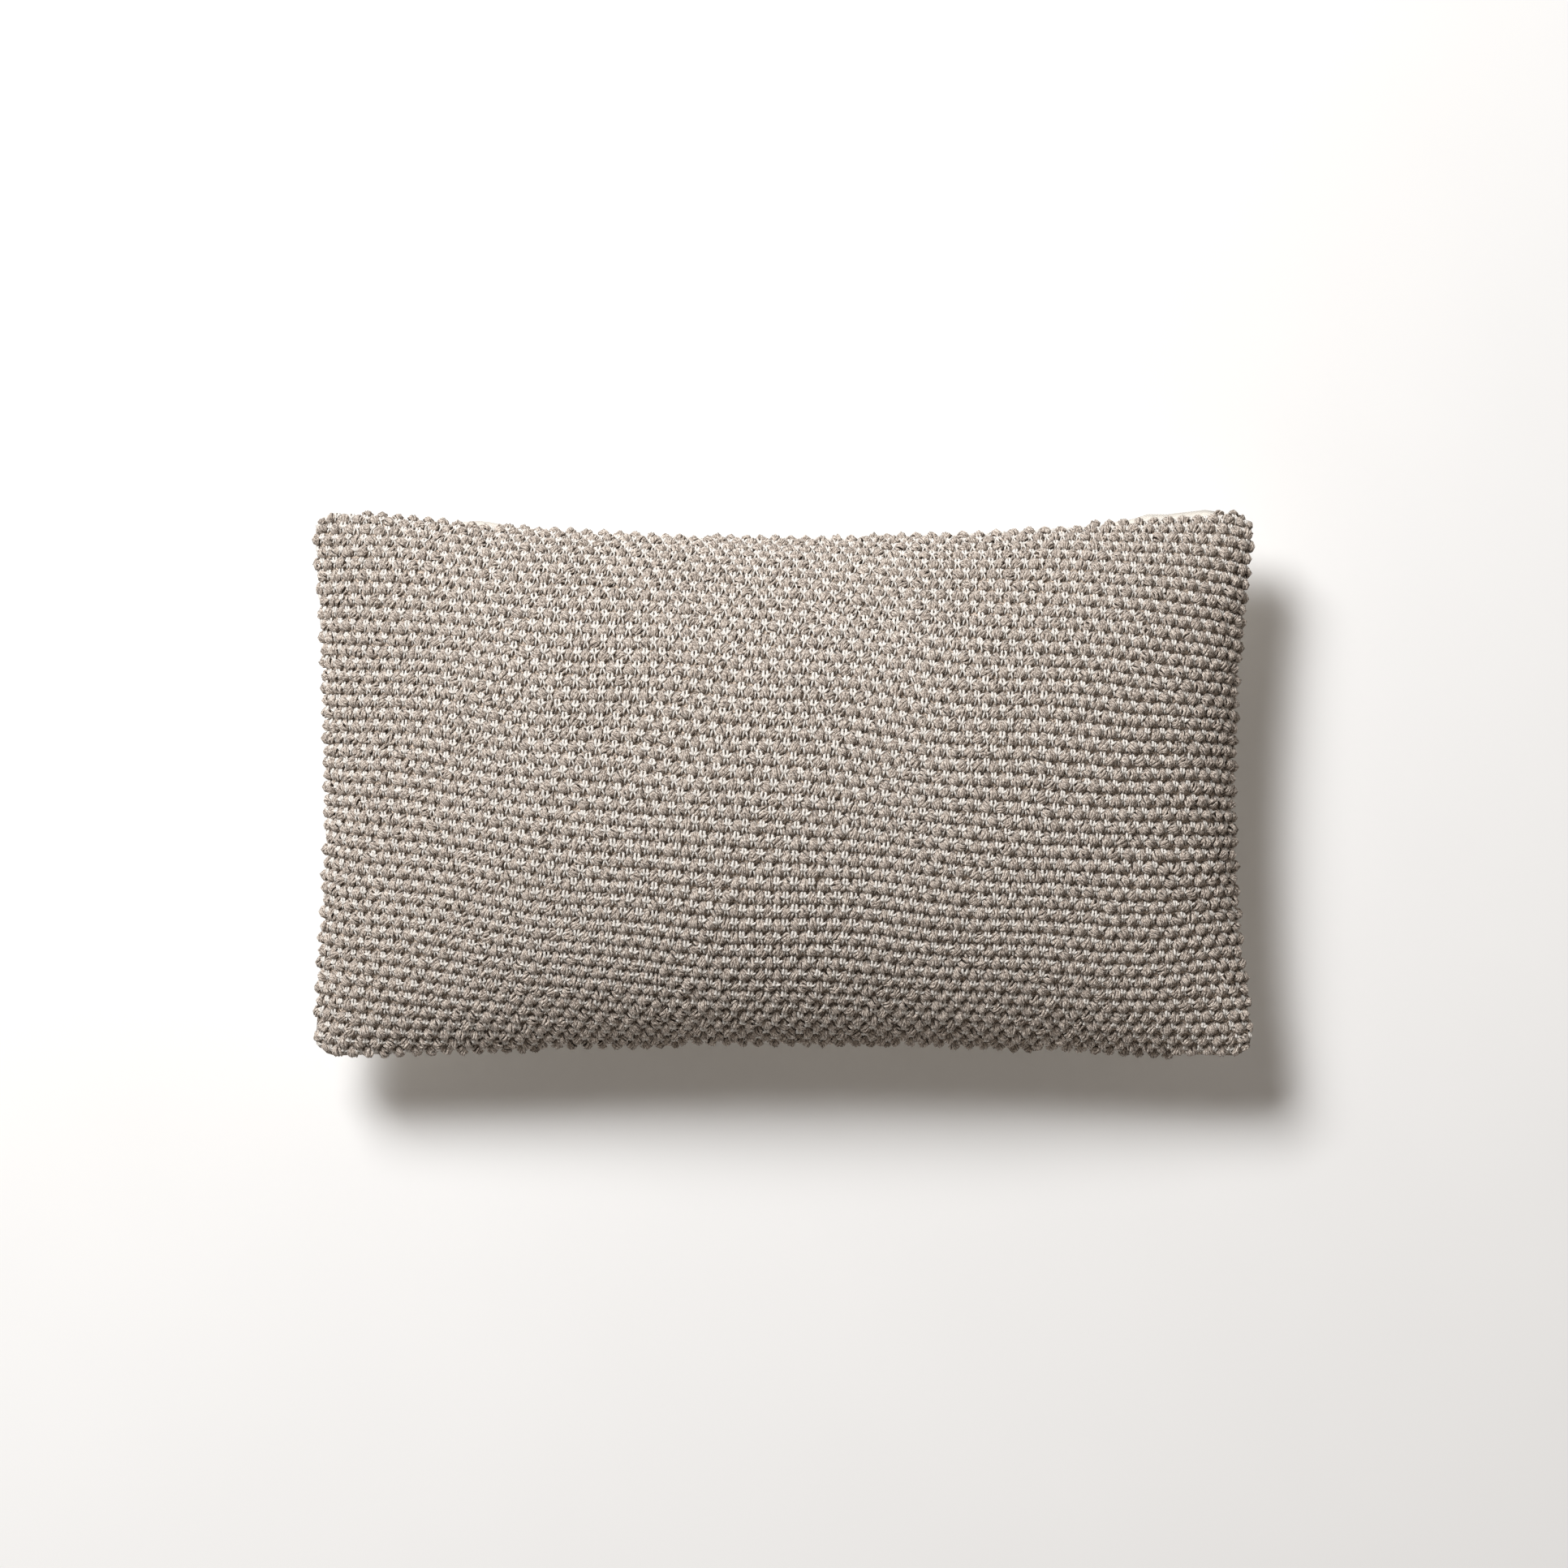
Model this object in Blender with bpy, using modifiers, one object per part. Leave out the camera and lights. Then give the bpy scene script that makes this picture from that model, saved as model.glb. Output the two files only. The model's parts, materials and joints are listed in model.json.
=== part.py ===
"""Lumbar throw pillow: a zipped cover, knitted in front and woven behind, round a filled insert.

The pillow lies on its back. +X runs along its length, +Y towards its top edge and +Z up, out of
the knitted face. The origin is under the middle of the pillow, where its back rests.
Lengths are in metres. An inset is a distance inwards from the cover's own outline, and a place on
a panel is u along X and v along Y, each from -1 to 1.
"""

import math

import bmesh
import bpy
from mathutils import Matrix, Vector

for leftover in list(bpy.data.objects):
    bpy.data.objects.remove(leftover)
pillow = bpy.data.collections.new("throw_pillow")
bpy.context.scene.collection.children.link(pillow)

# Outline of the stuffed cover
CORNER_HALF_LENGTH = 0.2835
CORNER_HALF_WIDTH = 0.1650
CORNER_DROP = 0.003  # how far the rounding draws a corner in along X and along Y
TOP_SAG = 0.020  # how far the middle of each side lies inside its corners
BOTTOM_SAG = 0.012
LEFT_SAG = 0.0105
RIGHT_SAG = 0.015

# Heights
SEAM_HEIGHT = 0.060  # of the seam plane above the floor
FRONT_CROWN = 0.076  # rise of the knitted face above its edge wall
BACK_CROWN = 0.066  # fall of the woven back below its edge wall, before the floor flattens it
CROWN_POWER = 0.70  # 0.5 would be an elliptic section and 1 a parabolic one
FRONT_EDGE_WALL = 0.0085  # height of the folded edge above the seam plane
BACK_EDGE_WALL = 0.0080  # and below it

# Cloth
KNIT_THICKNESS = 0.0020
WOVEN_THICKNESS = 0.0012
TICKING_THICKNESS = 0.0008
SEAM_ALLOWANCE = 0.010
SEAM_HALF_GAP = 0.0007  # from the seam plane to each turned-in allowance
CLEARANCE = 0.0004  # between neighbouring pieces

# Zip, which follows the arc of the bottom edge. Its depths are insets.
ZIP_CHAIN_LENGTH = 0.390
ZIP_STOP_LENGTH = 0.0020
ZIP_END_ROOM = 0.004  # of the opening beyond the stops, at each end
ZIP_HALF_GAP = 0.0045  # from the seam plane to each allowance, along the zip
ZIP_TRANSITION = 0.030  # over which the allowances part
COIL_INSET = 0.0040
COIL_DEPTH = 0.0022
COIL_WIDTH = 0.00155
COIL_HALF_GAP = 0.00065
TAPE_THICKNESS = 0.0005
TAPE_WIDTH = 0.0110
TAPE_FROM_COIL = 0.0003

# Slider and pull
SLIDER_LENGTH = 0.0090
SLIDER_PLATE = 0.0008
SLIDER_LIP = 0.0005
SLIDER_CLEARANCE = 0.0005
BRIDGE_HALF_WIDTH = 0.0003
BRIDGE_LENGTH = 0.0016
LOOP_LENGTH = 0.0052
LOOP_HALF_WIDTH = 0.0006
LOOP_BAR = 0.0008
LOOP_WINDOW = 0.0016
PULL_LENGTH = 0.016
PULL_HALF_WIDTH = 0.0021
PULL_THICKNESS = 0.0009
PULL_BAR = 0.0007
PULL_ROUNDING = 0.0002

# Insert and filling
INSERT_SIDE_ROOM = 0.0020  # between the zip tapes and the insert
INSERT_HEADROOM = 0.0010  # between the cover and the insert, at the crown
INSERT_EDGE_WALL = 0.0025
INSERT_ALLOWANCE = 0.008
FILL_SIDE_ROOM = 0.0020
FILL_HEADROOM = 0.0007
FILL_EDGE_WALL = 0.0020

# Threads and label
SEAM_THREAD_RADIUS = 0.00035
SEAM_THREAD_INSET = 0.0040
SEAM_THREAD_CORNER = 0.004  # share of a side left free at each of its ends
ZIP_THREAD_RADIUS = 0.0003
OVERLOCK_WIDTH = 0.0010
LABEL_LENGTH = 0.045
LABEL_HEIGHT = 0.018
LABEL_THICKNESS = 0.0005
LABEL_MIDDLE_Y = -0.060

# Faces of each cloth panel and steps of each curve
GRID_X = 20
GRID_Y = 14
ARC_STEPS = 20
OUTLINE_STEP = 0.018

# Follows from the sizes above
ZIP_OPENING = ZIP_CHAIN_LENGTH + 2 * (CLEARANCE + ZIP_STOP_LENGTH + ZIP_END_ROOM)
TAPE_INSET = COIL_INSET + (COIL_DEPTH - TAPE_THICKNESS) / 2
TAPE_OUTER_HEIGHT = ZIP_HALF_GAP - CLEARANCE
TAPE_INNER_HEIGHT = TAPE_OUTER_HEIGHT - TAPE_THICKNESS
COIL_HALF_HEIGHT = COIL_HALF_GAP + COIL_WIDTH
INSERT_INSET = TAPE_INSET + TAPE_WIDTH + INSERT_SIDE_ROOM
FILL_INSET = INSERT_INSET + INSERT_ALLOWANCE + FILL_SIDE_ROOM
BOTTOM_RADIUS = (CORNER_HALF_LENGTH**2 + BOTTOM_SAG**2) / (2 * BOTTOM_SAG)
ARC_CENTRE = Vector((0, -CORNER_HALF_WIDTH + BOTTOM_SAG - BOTTOM_RADIUS, SEAM_HEIGHT))


def material(name, colour, roughness, metallic=0.0):
    """A plain Principled material."""
    made = bpy.data.materials.new(name)
    made.use_nodes = True
    shader = made.node_tree.nodes["Principled BSDF"]
    shader.inputs["Base Color"].default_value = (*colour, 1.0)
    shader.inputs["Roughness"].default_value = roughness
    shader.inputs["Metallic"].default_value = metallic
    return made


KNIT = material("knitted_yarn", (0.36, 0.30, 0.25), 0.95)
WOVEN = material("woven_cotton", (0.74, 0.70, 0.63), 0.9)
TICKING = material("ticking", (0.80, 0.79, 0.76), 0.85)
FIBRE = material("polyester_fibre", (0.86, 0.86, 0.85), 1.0)
TAPE = material("zip_tape", (0.62, 0.57, 0.50), 0.9)
COIL = material("zip_coil", (0.64, 0.60, 0.53), 0.45)
METAL = material("zip_metal", (0.62, 0.60, 0.56), 0.35, 1.0)
THREAD = material("sewing_thread", (0.70, 0.66, 0.59), 0.8)
SATIN = material("label_satin", (0.88, 0.87, 0.85), 0.6)


# ---------------------------------------------------------------- outline and crown


def arc_dip(along, half_chord, sag):
    """How far a side lies inside its corners, at a distance along it from its middle."""
    radius = (half_chord**2 + sag**2) / (2 * sag)
    along = min(abs(along), half_chord)
    return math.sqrt(radius**2 - along**2) - math.sqrt(radius**2 - half_chord**2)


def plan_point(u, v, inset=0.0):
    """The X and Y of place u, v of a panel whose outline is drawn in by inset."""
    y_straight = v * CORNER_HALF_WIDTH
    left = -CORNER_HALF_LENGTH + arc_dip(y_straight, CORNER_HALF_WIDTH, LEFT_SAG) + inset
    right = CORNER_HALF_LENGTH - arc_dip(y_straight, CORNER_HALF_WIDTH, RIGHT_SAG) - inset
    x = left + (right - left) * (u + 1) / 2
    bottom = -CORNER_HALF_WIDTH + arc_dip(x, CORNER_HALF_LENGTH, BOTTOM_SAG) + inset
    top = CORNER_HALF_WIDTH - arc_dip(x, CORNER_HALF_LENGTH, TOP_SAG) - inset
    y = bottom + (top - bottom) * (v + 1) / 2
    rounding = CORNER_DROP * abs(u * v) ** 16
    return x - math.copysign(rounding, u), y - math.copysign(rounding, v)


def crown(u, v):
    """Share of the crown's height at place u, v."""
    return max(0.0, (1 - u * u) * (1 - v * v)) ** CROWN_POWER


def closed_seam(u, v):
    """From the seam plane to an allowance, where nothing parts the seam."""
    return SEAM_HALF_GAP


def zipped_seam(u, v):
    """From the seam plane to an allowance of the cover, which the zip parts along the bottom."""
    x, _ = plan_point(u, v)
    opened = (ZIP_OPENING / 2 + 2 * ZIP_TRANSITION - abs(x)) / ZIP_TRANSITION
    opened = min(max(opened, 0.0), 1.0) if v < -0.999 else 0.0
    return SEAM_HALF_GAP + (ZIP_HALF_GAP - SEAM_HALF_GAP) * opened


def outline_run(start, end, inset, height=0.0):
    """Points of the outline, anticlockwise from start to end.

    A place on the outline is a number that grows by 1 along each side: 0 is the bottom left corner,
    1 the bottom right, 2 the top right and 3 the top left.
    """
    count = max(2, round((end - start) * 2 * CORNER_HALF_LENGTH / OUTLINE_STEP))
    points = []
    for i in range(count + 1):
        where = start + (end - start) * i / count
        run = 2 * (where % 1) - 1
        u, v = ((run, -1), (1, run), (-run, 1), (-1, -run))[int(where) % 4]
        points.append(Vector((*plan_point(u, v, inset), height)))
    return points


# ---------------------------------------------------------------- building blocks


def into_pillow(obj, finish):
    """Gives an object its finish and moves it into the pillow's collection."""
    obj.data.materials.clear()
    obj.data.materials.append(finish)
    for owner in list(obj.users_collection):
        owner.objects.unlink(obj)
    pillow.objects.link(obj)
    return obj


def new_object(name, data, finish):
    """A named object from its data, in the pillow's collection."""
    obj = bpy.data.objects.new(name, data)
    pillow.objects.link(obj)
    data.materials.append(finish)
    return obj


def box(name, low, high, finish=METAL):
    """A box between two corners, with its origin at the world's."""
    low, high = Vector(low), Vector(high)
    bpy.ops.mesh.primitive_cube_add(size=1, location=(low + high) / 2)
    obj = bpy.context.active_object
    obj.name = name
    obj.scale = high - low
    bpy.ops.object.transform_apply(location=True, rotation=False, scale=True)
    return into_pillow(obj, finish)


def combine(obj, other, operation):
    """Applies a Boolean of obj with other, then removes other."""
    modifier = obj.modifiers.new(operation.title(), "BOOLEAN")
    modifier.operation = operation
    modifier.solver = "EXACT"
    modifier.object = other
    bpy.context.view_layer.objects.active = obj
    bpy.ops.object.modifier_apply(modifier=modifier.name)
    bpy.data.objects.remove(other)


def along_bottom(name, profile, half_angle, finish, middle=0.0, steps=ARC_STEPS):
    """A solid made by turning a closed (inset, height) profile about the bottom edge's arc centre."""
    builder = bmesh.new()
    start = Matrix.Rotation(middle + half_angle, 4, "Z")
    places = [start @ Vector((0, BOTTOM_RADIUS + inset, height)) for inset, height in profile]
    face = builder.faces.new([builder.verts.new(ARC_CENTRE + place) for place in places])
    bmesh.ops.spin(
        builder,
        geom=[face, *face.edges, *face.verts],
        cent=ARC_CENTRE,
        axis=(0, 0, 1),
        angle=-2 * half_angle,
        steps=steps,
    )
    bmesh.ops.recalc_face_normals(builder, faces=builder.faces)
    mesh = bpy.data.meshes.new(name)
    builder.to_mesh(mesh)
    builder.free()
    return new_object(name, mesh, finish)


def rectangle(inset, height, depth, rise):
    """A closed profile for along_bottom."""
    far, top = inset + depth, height + rise
    return [(inset, height), (far, height), (far, top), (inset, top)]


def flipped(profile, side):
    """The profile where side is 1, or its mirror image in the seam plane where side is -1."""
    return [(inset, side * height) for inset, height in profile]


def thread(name, points, radius):
    """A thread along points, as a thin tube."""
    data = bpy.data.curves.new(name, "CURVE")
    data.dimensions = "3D"
    data.bevel_depth = radius
    data.bevel_resolution = 0
    data.use_fill_caps = True
    spline = data.splines.new("POLY")
    spline.points.add(len(points) - 1)
    for point, place in zip(spline.points, points):
        point.co = (*place, 1)
    return new_object(name, data, THREAD)


# ---------------------------------------------------------------- cloth panels


def panel_grid(surface):
    """A bmesh grid that keeps each point's place in a layer, with the points where surface says."""
    builder = bmesh.new()
    bmesh.ops.create_grid(builder, x_segments=GRID_X, y_segments=GRID_Y, size=1)
    place = builder.verts.layers.float_vector.new("place")
    for vertex in builder.verts:
        # the grid lines draw together towards the edges, where the crown is steep
        vertex[place] = [step * (1.25 - 0.25 * step**2) for step in vertex.co]
        vertex.co = surface(*vertex[place].xy)
    return builder


def add_ring(builder, ring, surface):
    """Extrudes a ring of edges, with the new points where surface says, and gives the new ring."""
    place = builder.verts.layers.float_vector["place"]
    made = bmesh.ops.extrude_edge_only(builder, edges=ring)["geom"]
    for item in made:
        if isinstance(item, bmesh.types.BMVert):
            item.co = surface(*item[place].xy)
    return [item for item in made if isinstance(item, bmesh.types.BMEdge) and item.is_boundary]


def cloth_panel(
    name, side, inset, edge_wall, crown_height, lowest, seam, allowance, thickness, finish
):
    """A crowned panel with a folded edge and a turned-in seam allowance.

    side is 1 above the seam plane and -1 below it, lowest is the least height of its outer face,
    and seam gives the distance from the seam plane to the allowance.
    """

    def face(u, v):
        height = SEAM_HEIGHT + side * (edge_wall + crown_height * crown(u, v))
        return Vector((*plan_point(u, v, inset), max(height, lowest)))

    def fold(u, v):
        return Vector((*plan_point(u, v, inset), SEAM_HEIGHT + side * seam(u, v)))

    def raw_edge(u, v):
        return Vector((*plan_point(u, v, inset + allowance), SEAM_HEIGHT + side * seam(u, v)))

    builder = panel_grid(face)
    ring = [edge for edge in builder.edges if edge.is_boundary]
    ring = add_ring(builder, ring, fold)
    add_ring(builder, ring, raw_edge)
    bmesh.ops.recalc_face_normals(builder, faces=builder.faces)
    middle = min(builder.faces, key=lambda made: made.calc_center_median().xy.length)
    if middle.normal.z * side < 0:
        bmesh.ops.reverse_faces(builder, faces=builder.faces)
    mesh = bpy.data.meshes.new(name)
    builder.to_mesh(mesh)
    builder.free()
    mesh.shade_smooth()
    panel = new_object(name, mesh, finish)
    cloth = panel.modifiers.new("Cloth thickness", "SOLIDIFY")
    cloth.thickness = thickness
    cloth.offset = -1
    return panel


def cover():
    """The knitted front and the woven back."""
    cloth_panel(
        name="front_panel",
        side=1,
        inset=0.0,
        edge_wall=FRONT_EDGE_WALL,
        crown_height=FRONT_CROWN,
        lowest=0.0,
        seam=zipped_seam,
        allowance=SEAM_ALLOWANCE,
        thickness=KNIT_THICKNESS,
        finish=KNIT,
    )
    cloth_panel(
        name="back_panel",
        side=-1,
        inset=0.0,
        edge_wall=BACK_EDGE_WALL,
        crown_height=BACK_CROWN,
        lowest=0.0,
        seam=zipped_seam,
        allowance=SEAM_ALLOWANCE,
        thickness=WOVEN_THICKNESS,
        finish=WOVEN,
    )


def insert():
    """The ticking case, its seam thread and the filling."""
    case_rise = FRONT_EDGE_WALL + FRONT_CROWN - KNIT_THICKNESS - INSERT_HEADROOM
    case_fall = BACK_EDGE_WALL + BACK_CROWN - WOVEN_THICKNESS - INSERT_HEADROOM
    case_floor = WOVEN_THICKNESS + INSERT_HEADROOM
    for side, name, reach in (
        (1, "insert_front_ticking", case_rise),
        (-1, "insert_back_ticking", case_fall),
    ):
        cloth_panel(
            name=name,
            side=side,
            inset=INSERT_INSET,
            edge_wall=INSERT_EDGE_WALL,
            crown_height=reach - INSERT_EDGE_WALL,
            lowest=case_floor,
            seam=closed_seam,
            allowance=INSERT_ALLOWANCE,
            thickness=TICKING_THICKNESS,
            finish=TICKING,
        )
    corner = SEAM_THREAD_CORNER
    points = outline_run(corner, 4 - corner, INSERT_INSET + SEAM_THREAD_INSET, SEAM_HEIGHT)
    thread("insert_seam_thread", points, SEAM_THREAD_RADIUS)
    lining = TICKING_THICKNESS + FILL_HEADROOM
    filling(case_rise - lining, case_fall - lining, case_floor + lining)


def filling(rise, fall, floor):
    """The fibre filling, one closed body from fall below the seam plane to rise above it."""

    def upper(u, v):
        height = SEAM_HEIGHT + FILL_EDGE_WALL + (rise - FILL_EDGE_WALL) * crown(u, v)
        return Vector((*plan_point(u, v, FILL_INSET), height))

    def lower(u, v):
        height = SEAM_HEIGHT - FILL_EDGE_WALL - (fall - FILL_EDGE_WALL) * crown(u, v)
        return Vector((*plan_point(u, v, FILL_INSET), max(height, floor)))

    builder = panel_grid(upper)
    under = panel_grid(lower)
    mesh = bpy.data.meshes.new("fibre_filling")
    under.to_mesh(mesh)
    under.free()
    builder.from_mesh(mesh)
    bmesh.ops.bridge_loops(builder, edges=[edge for edge in builder.edges if edge.is_boundary])
    bmesh.ops.recalc_face_normals(builder, faces=builder.faces)
    builder.to_mesh(mesh)
    builder.free()
    mesh.shade_smooth()
    new_object("fibre_filling", mesh, FIBRE)


# ---------------------------------------------------------------- seams and label


def zip_end_share(beyond=0.0):
    """Where the zip opening ends on the outline's bottom side, as a share from its left corner."""
    return 0.5 + (ZIP_OPENING / 2 + beyond) / (2 * CORNER_HALF_LENGTH)


def seam_threads():
    """The lockstitch of each side, which stops at the zip."""
    corner = SEAM_THREAD_CORNER
    runs = {
        "bottom_left_seam_thread": (corner, 1 - zip_end_share()),
        "bottom_right_seam_thread": (zip_end_share(), 1 - corner),
        "right_seam_thread": (1 + 2 * corner, 2 - 2 * corner),
        "top_seam_thread": (2 + corner, 3 - corner),
        "left_seam_thread": (3 + 2 * corner, 4 - 2 * corner),
    }
    for name, (start, end) in runs.items():
        points = outline_run(start, end, SEAM_THREAD_INSET, SEAM_HEIGHT)
        thread(name, points, SEAM_THREAD_RADIUS)


def overlocked_edge():
    """The overlocking over the raw ends of both allowances, all round but for the zip."""
    start, end = zip_end_share(ZIP_END_ROOM), 5 - zip_end_share(ZIP_END_ROOM)
    inset = SEAM_ALLOWANCE + CLEARANCE
    points = outline_run(start, end, inset)
    points += reversed(outline_run(start, end, inset + OVERLOCK_WIDTH))
    low = -SEAM_HALF_GAP - WOVEN_THICKNESS
    high = SEAM_HALF_GAP + KNIT_THICKNESS
    data = bpy.data.curves.new("overlocked_seam_edge", "CURVE")
    data.dimensions = "2D"
    data.fill_mode = "BOTH"
    data.extrude = (high - low) / 2
    spline = data.splines.new("POLY")
    spline.points.add(len(points) - 1)
    for point, place in zip(spline.points, points):
        point.co = (*place, 1)
    spline.use_cyclic_u = True
    edge = new_object("overlocked_seam_edge", data, THREAD)
    edge.location.z = SEAM_HEIGHT + (low + high) / 2


def care_label():
    """A blank folded label, held in the left seam and lying along it inside the cover."""
    inset = SEAM_ALLOWANCE + OVERLOCK_WIDTH + 3 * CLEARANCE
    ends = []
    for step in (-0.5, 0.5):
        v = (LABEL_MIDDLE_Y + step * LABEL_LENGTH) / CORNER_HALF_WIDTH
        ends.append(Vector(plan_point(-1, v, inset)))
    middle = (ends[0] + ends[1]) / 2
    run = ends[1] - ends[0]
    half = Vector((LABEL_THICKNESS, LABEL_LENGTH, LABEL_HEIGHT)) / 2
    label = box("care_label", -half, half, SATIN)
    label.location = (*middle, SEAM_HEIGHT)
    label.rotation_euler.z = math.atan2(-run.x, run.y)


# ---------------------------------------------------------------- zip


def zip_chain():
    """Both tapes with their coils and stitching, and the stops at the two ends."""
    half_angle = ZIP_CHAIN_LENGTH / 2 / BOTTOM_RADIUS
    stop_half_angle = ZIP_STOP_LENGTH / 2 / BOTTOM_RADIUS
    stop_angle = half_angle + CLEARANCE / BOTTOM_RADIUS + stop_half_angle
    coil = rectangle(COIL_INSET, COIL_HALF_GAP, COIL_DEPTH, COIL_WIDTH)
    tape = [
        (TAPE_INSET, COIL_HALF_HEIGHT + TAPE_FROM_COIL),
        (TAPE_INSET + TAPE_THICKNESS, COIL_HALF_HEIGHT + TAPE_FROM_COIL),
        (TAPE_INSET + TAPE_THICKNESS, TAPE_INNER_HEIGHT),
        (TAPE_INSET + TAPE_WIDTH, TAPE_INNER_HEIGHT),
        (TAPE_INSET + TAPE_WIDTH, TAPE_OUTER_HEIGHT),
        (TAPE_INSET, TAPE_OUTER_HEIGHT),
    ]
    for side, label in ((1, "front"), (-1, "back")):
        along_bottom(f"{label}_zip_coil", flipped(coil, side), half_angle, COIL)
        along_bottom(f"{label}_zip_tape", flipped(tape, side), half_angle, TAPE)
        zip_stitching(label, side, half_angle)
        along_bottom(
            f"{label}_zip_top_stop", flipped(coil, side), stop_half_angle, METAL, -stop_angle, 1
        )
    both_coils = rectangle(COIL_INSET, -COIL_HALF_HEIGHT, COIL_DEPTH, 2 * COIL_HALF_HEIGHT)
    along_bottom("zip_bottom_stop", both_coils, stop_half_angle, METAL, stop_angle, 1)


def zip_stitching(label, side, half_angle):
    """The row of stitching on the inner face of a tape."""
    inset = TAPE_INSET + 0.75 * TAPE_WIDTH
    height = side * (TAPE_INNER_HEIGHT - ZIP_THREAD_RADIUS - CLEARANCE)
    points = []
    for i in range(ARC_STEPS + 1):
        spoke = Matrix.Rotation(half_angle * (1 - 2 * i / ARC_STEPS), 4, "Z")
        points.append(ARC_CENTRE + spoke @ Vector((0, BOTTOM_RADIUS + inset, height)))
    thread(f"{label}_zip_stitching", points, ZIP_THREAD_RADIUS)


def slider_body(outer, inner):
    """The slider between its outer and inner insets: two plates, lips, bridge and loop."""
    half = SLIDER_LENGTH / 2
    channel = COIL_HALF_HEIGHT + SLIDER_CLEARANCE
    wide = channel + SLIDER_LIP
    tape_low = TAPE_INSET - SLIDER_CLEARANCE
    tape_high = TAPE_INSET + TAPE_THICKNESS + SLIDER_CLEARANCE
    past = 0.001  # how far each cutter runs past the body
    sunk = 0.0002  # how far a joined piece runs into it
    body = box("zip_slider", (-half, outer, -wide), (half, inner, wide))
    channel_cut = box(
        "channel_cut",
        (-half - past, outer + SLIDER_PLATE, -channel),
        (half + past, inner - SLIDER_PLATE, channel),
    )
    combine(body, channel_cut, "DIFFERENCE")
    tape_cut = box(
        "tape_cut", (-half - past, tape_low, -wide - past), (half + past, tape_high, wide + past)
    )
    combine(body, tape_cut, "DIFFERENCE")
    bridge = box(
        "bridge",
        (half - BRIDGE_LENGTH, outer + SLIDER_PLATE - sunk, -BRIDGE_HALF_WIDTH),
        (half - sunk, inner - SLIDER_PLATE + sunk, BRIDGE_HALF_WIDTH),
    )
    combine(body, bridge, "UNION")
    reach = LOOP_LENGTH / 2
    loop = box(
        "loop",
        (-reach, outer - LOOP_WINDOW - LOOP_BAR, -LOOP_HALF_WIDTH),
        (reach, outer + sunk, LOOP_HALF_WIDTH),
    )
    window = box(
        "window",
        (-reach + LOOP_BAR, outer - LOOP_WINDOW, -LOOP_HALF_WIDTH - past),
        (reach - LOOP_BAR, outer + past, LOOP_HALF_WIDTH + past),
    )
    combine(loop, window, "DIFFERENCE")
    combine(body, loop, "UNION")
    return body


def pull_tab():
    """The pull, along -X from its bar, which lies on the Z axis."""
    corner = math.hypot(LOOP_LENGTH / 2, LOOP_WINDOW / 2 + LOOP_BAR)
    eye_end = corner + CLEARANCE
    eye_half = LOOP_HALF_WIDTH + CLEARANCE
    half = PULL_THICKNESS / 2
    bar = PULL_BAR / 2
    pull = box(
        "zip_pull", (-PULL_LENGTH, -half, -PULL_HALF_WIDTH), (bar, half, PULL_HALF_WIDTH)
    )
    combine(pull, box("eye", (-eye_end, -2 * half, -eye_half), (-bar, 2 * half, eye_half)), "DIFFERENCE")
    rounding = pull.modifiers.new("Rounded edges", "BEVEL")
    rounding.width = PULL_ROUNDING
    rounding.segments = 1
    return pull


def slider():
    """The slider and its pull, at the closed right-hand end of the chain."""
    outer = COIL_INSET - SLIDER_CLEARANCE - SLIDER_PLATE
    inner = COIL_INSET + COIL_DEPTH + SLIDER_CLEARANCE + SLIDER_PLATE
    carrier = bpy.data.objects.new("zip_arc_centre", None)
    pillow.objects.link(carrier)
    carrier.location = ARC_CENTRE
    carrier.rotation_euler.z = -(ZIP_CHAIN_LENGTH - SLIDER_LENGTH) / 2 / BOTTOM_RADIUS
    body = slider_body(outer, inner)
    body.parent = carrier
    body.location.y = BOTTOM_RADIUS
    pull = pull_tab()
    pull.parent = carrier
    pull.location.y = BOTTOM_RADIUS + outer - LOOP_WINDOW / 2


cover()
seam_threads()
overlocked_edge()
care_label()
insert()
zip_chain()
slider()
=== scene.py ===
"""The looks of a lumbar throw pillow with a bobbled two-tone knit front and a woven back.

The cover's shape comes from its flat cut: the cloth is laid over the stuffed form at its cut length
and settled by a cloth simulation. The knit is then laid on it, yarn by yarn. The pillow lies on its
back, with +X along its length, +Y towards its top edge and +Z out of the knitted face, in metres.
"""

import json
import math

import bmesh
import bpy
import numpy as np
from bpy.props import FloatProperty, FloatVectorProperty, IntProperty, PointerProperty
from bpy.types import Operator, Panel, PropertyGroup
from mathutils import Matrix, Vector
from mathutils.bvhtree import BVHTree


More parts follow.
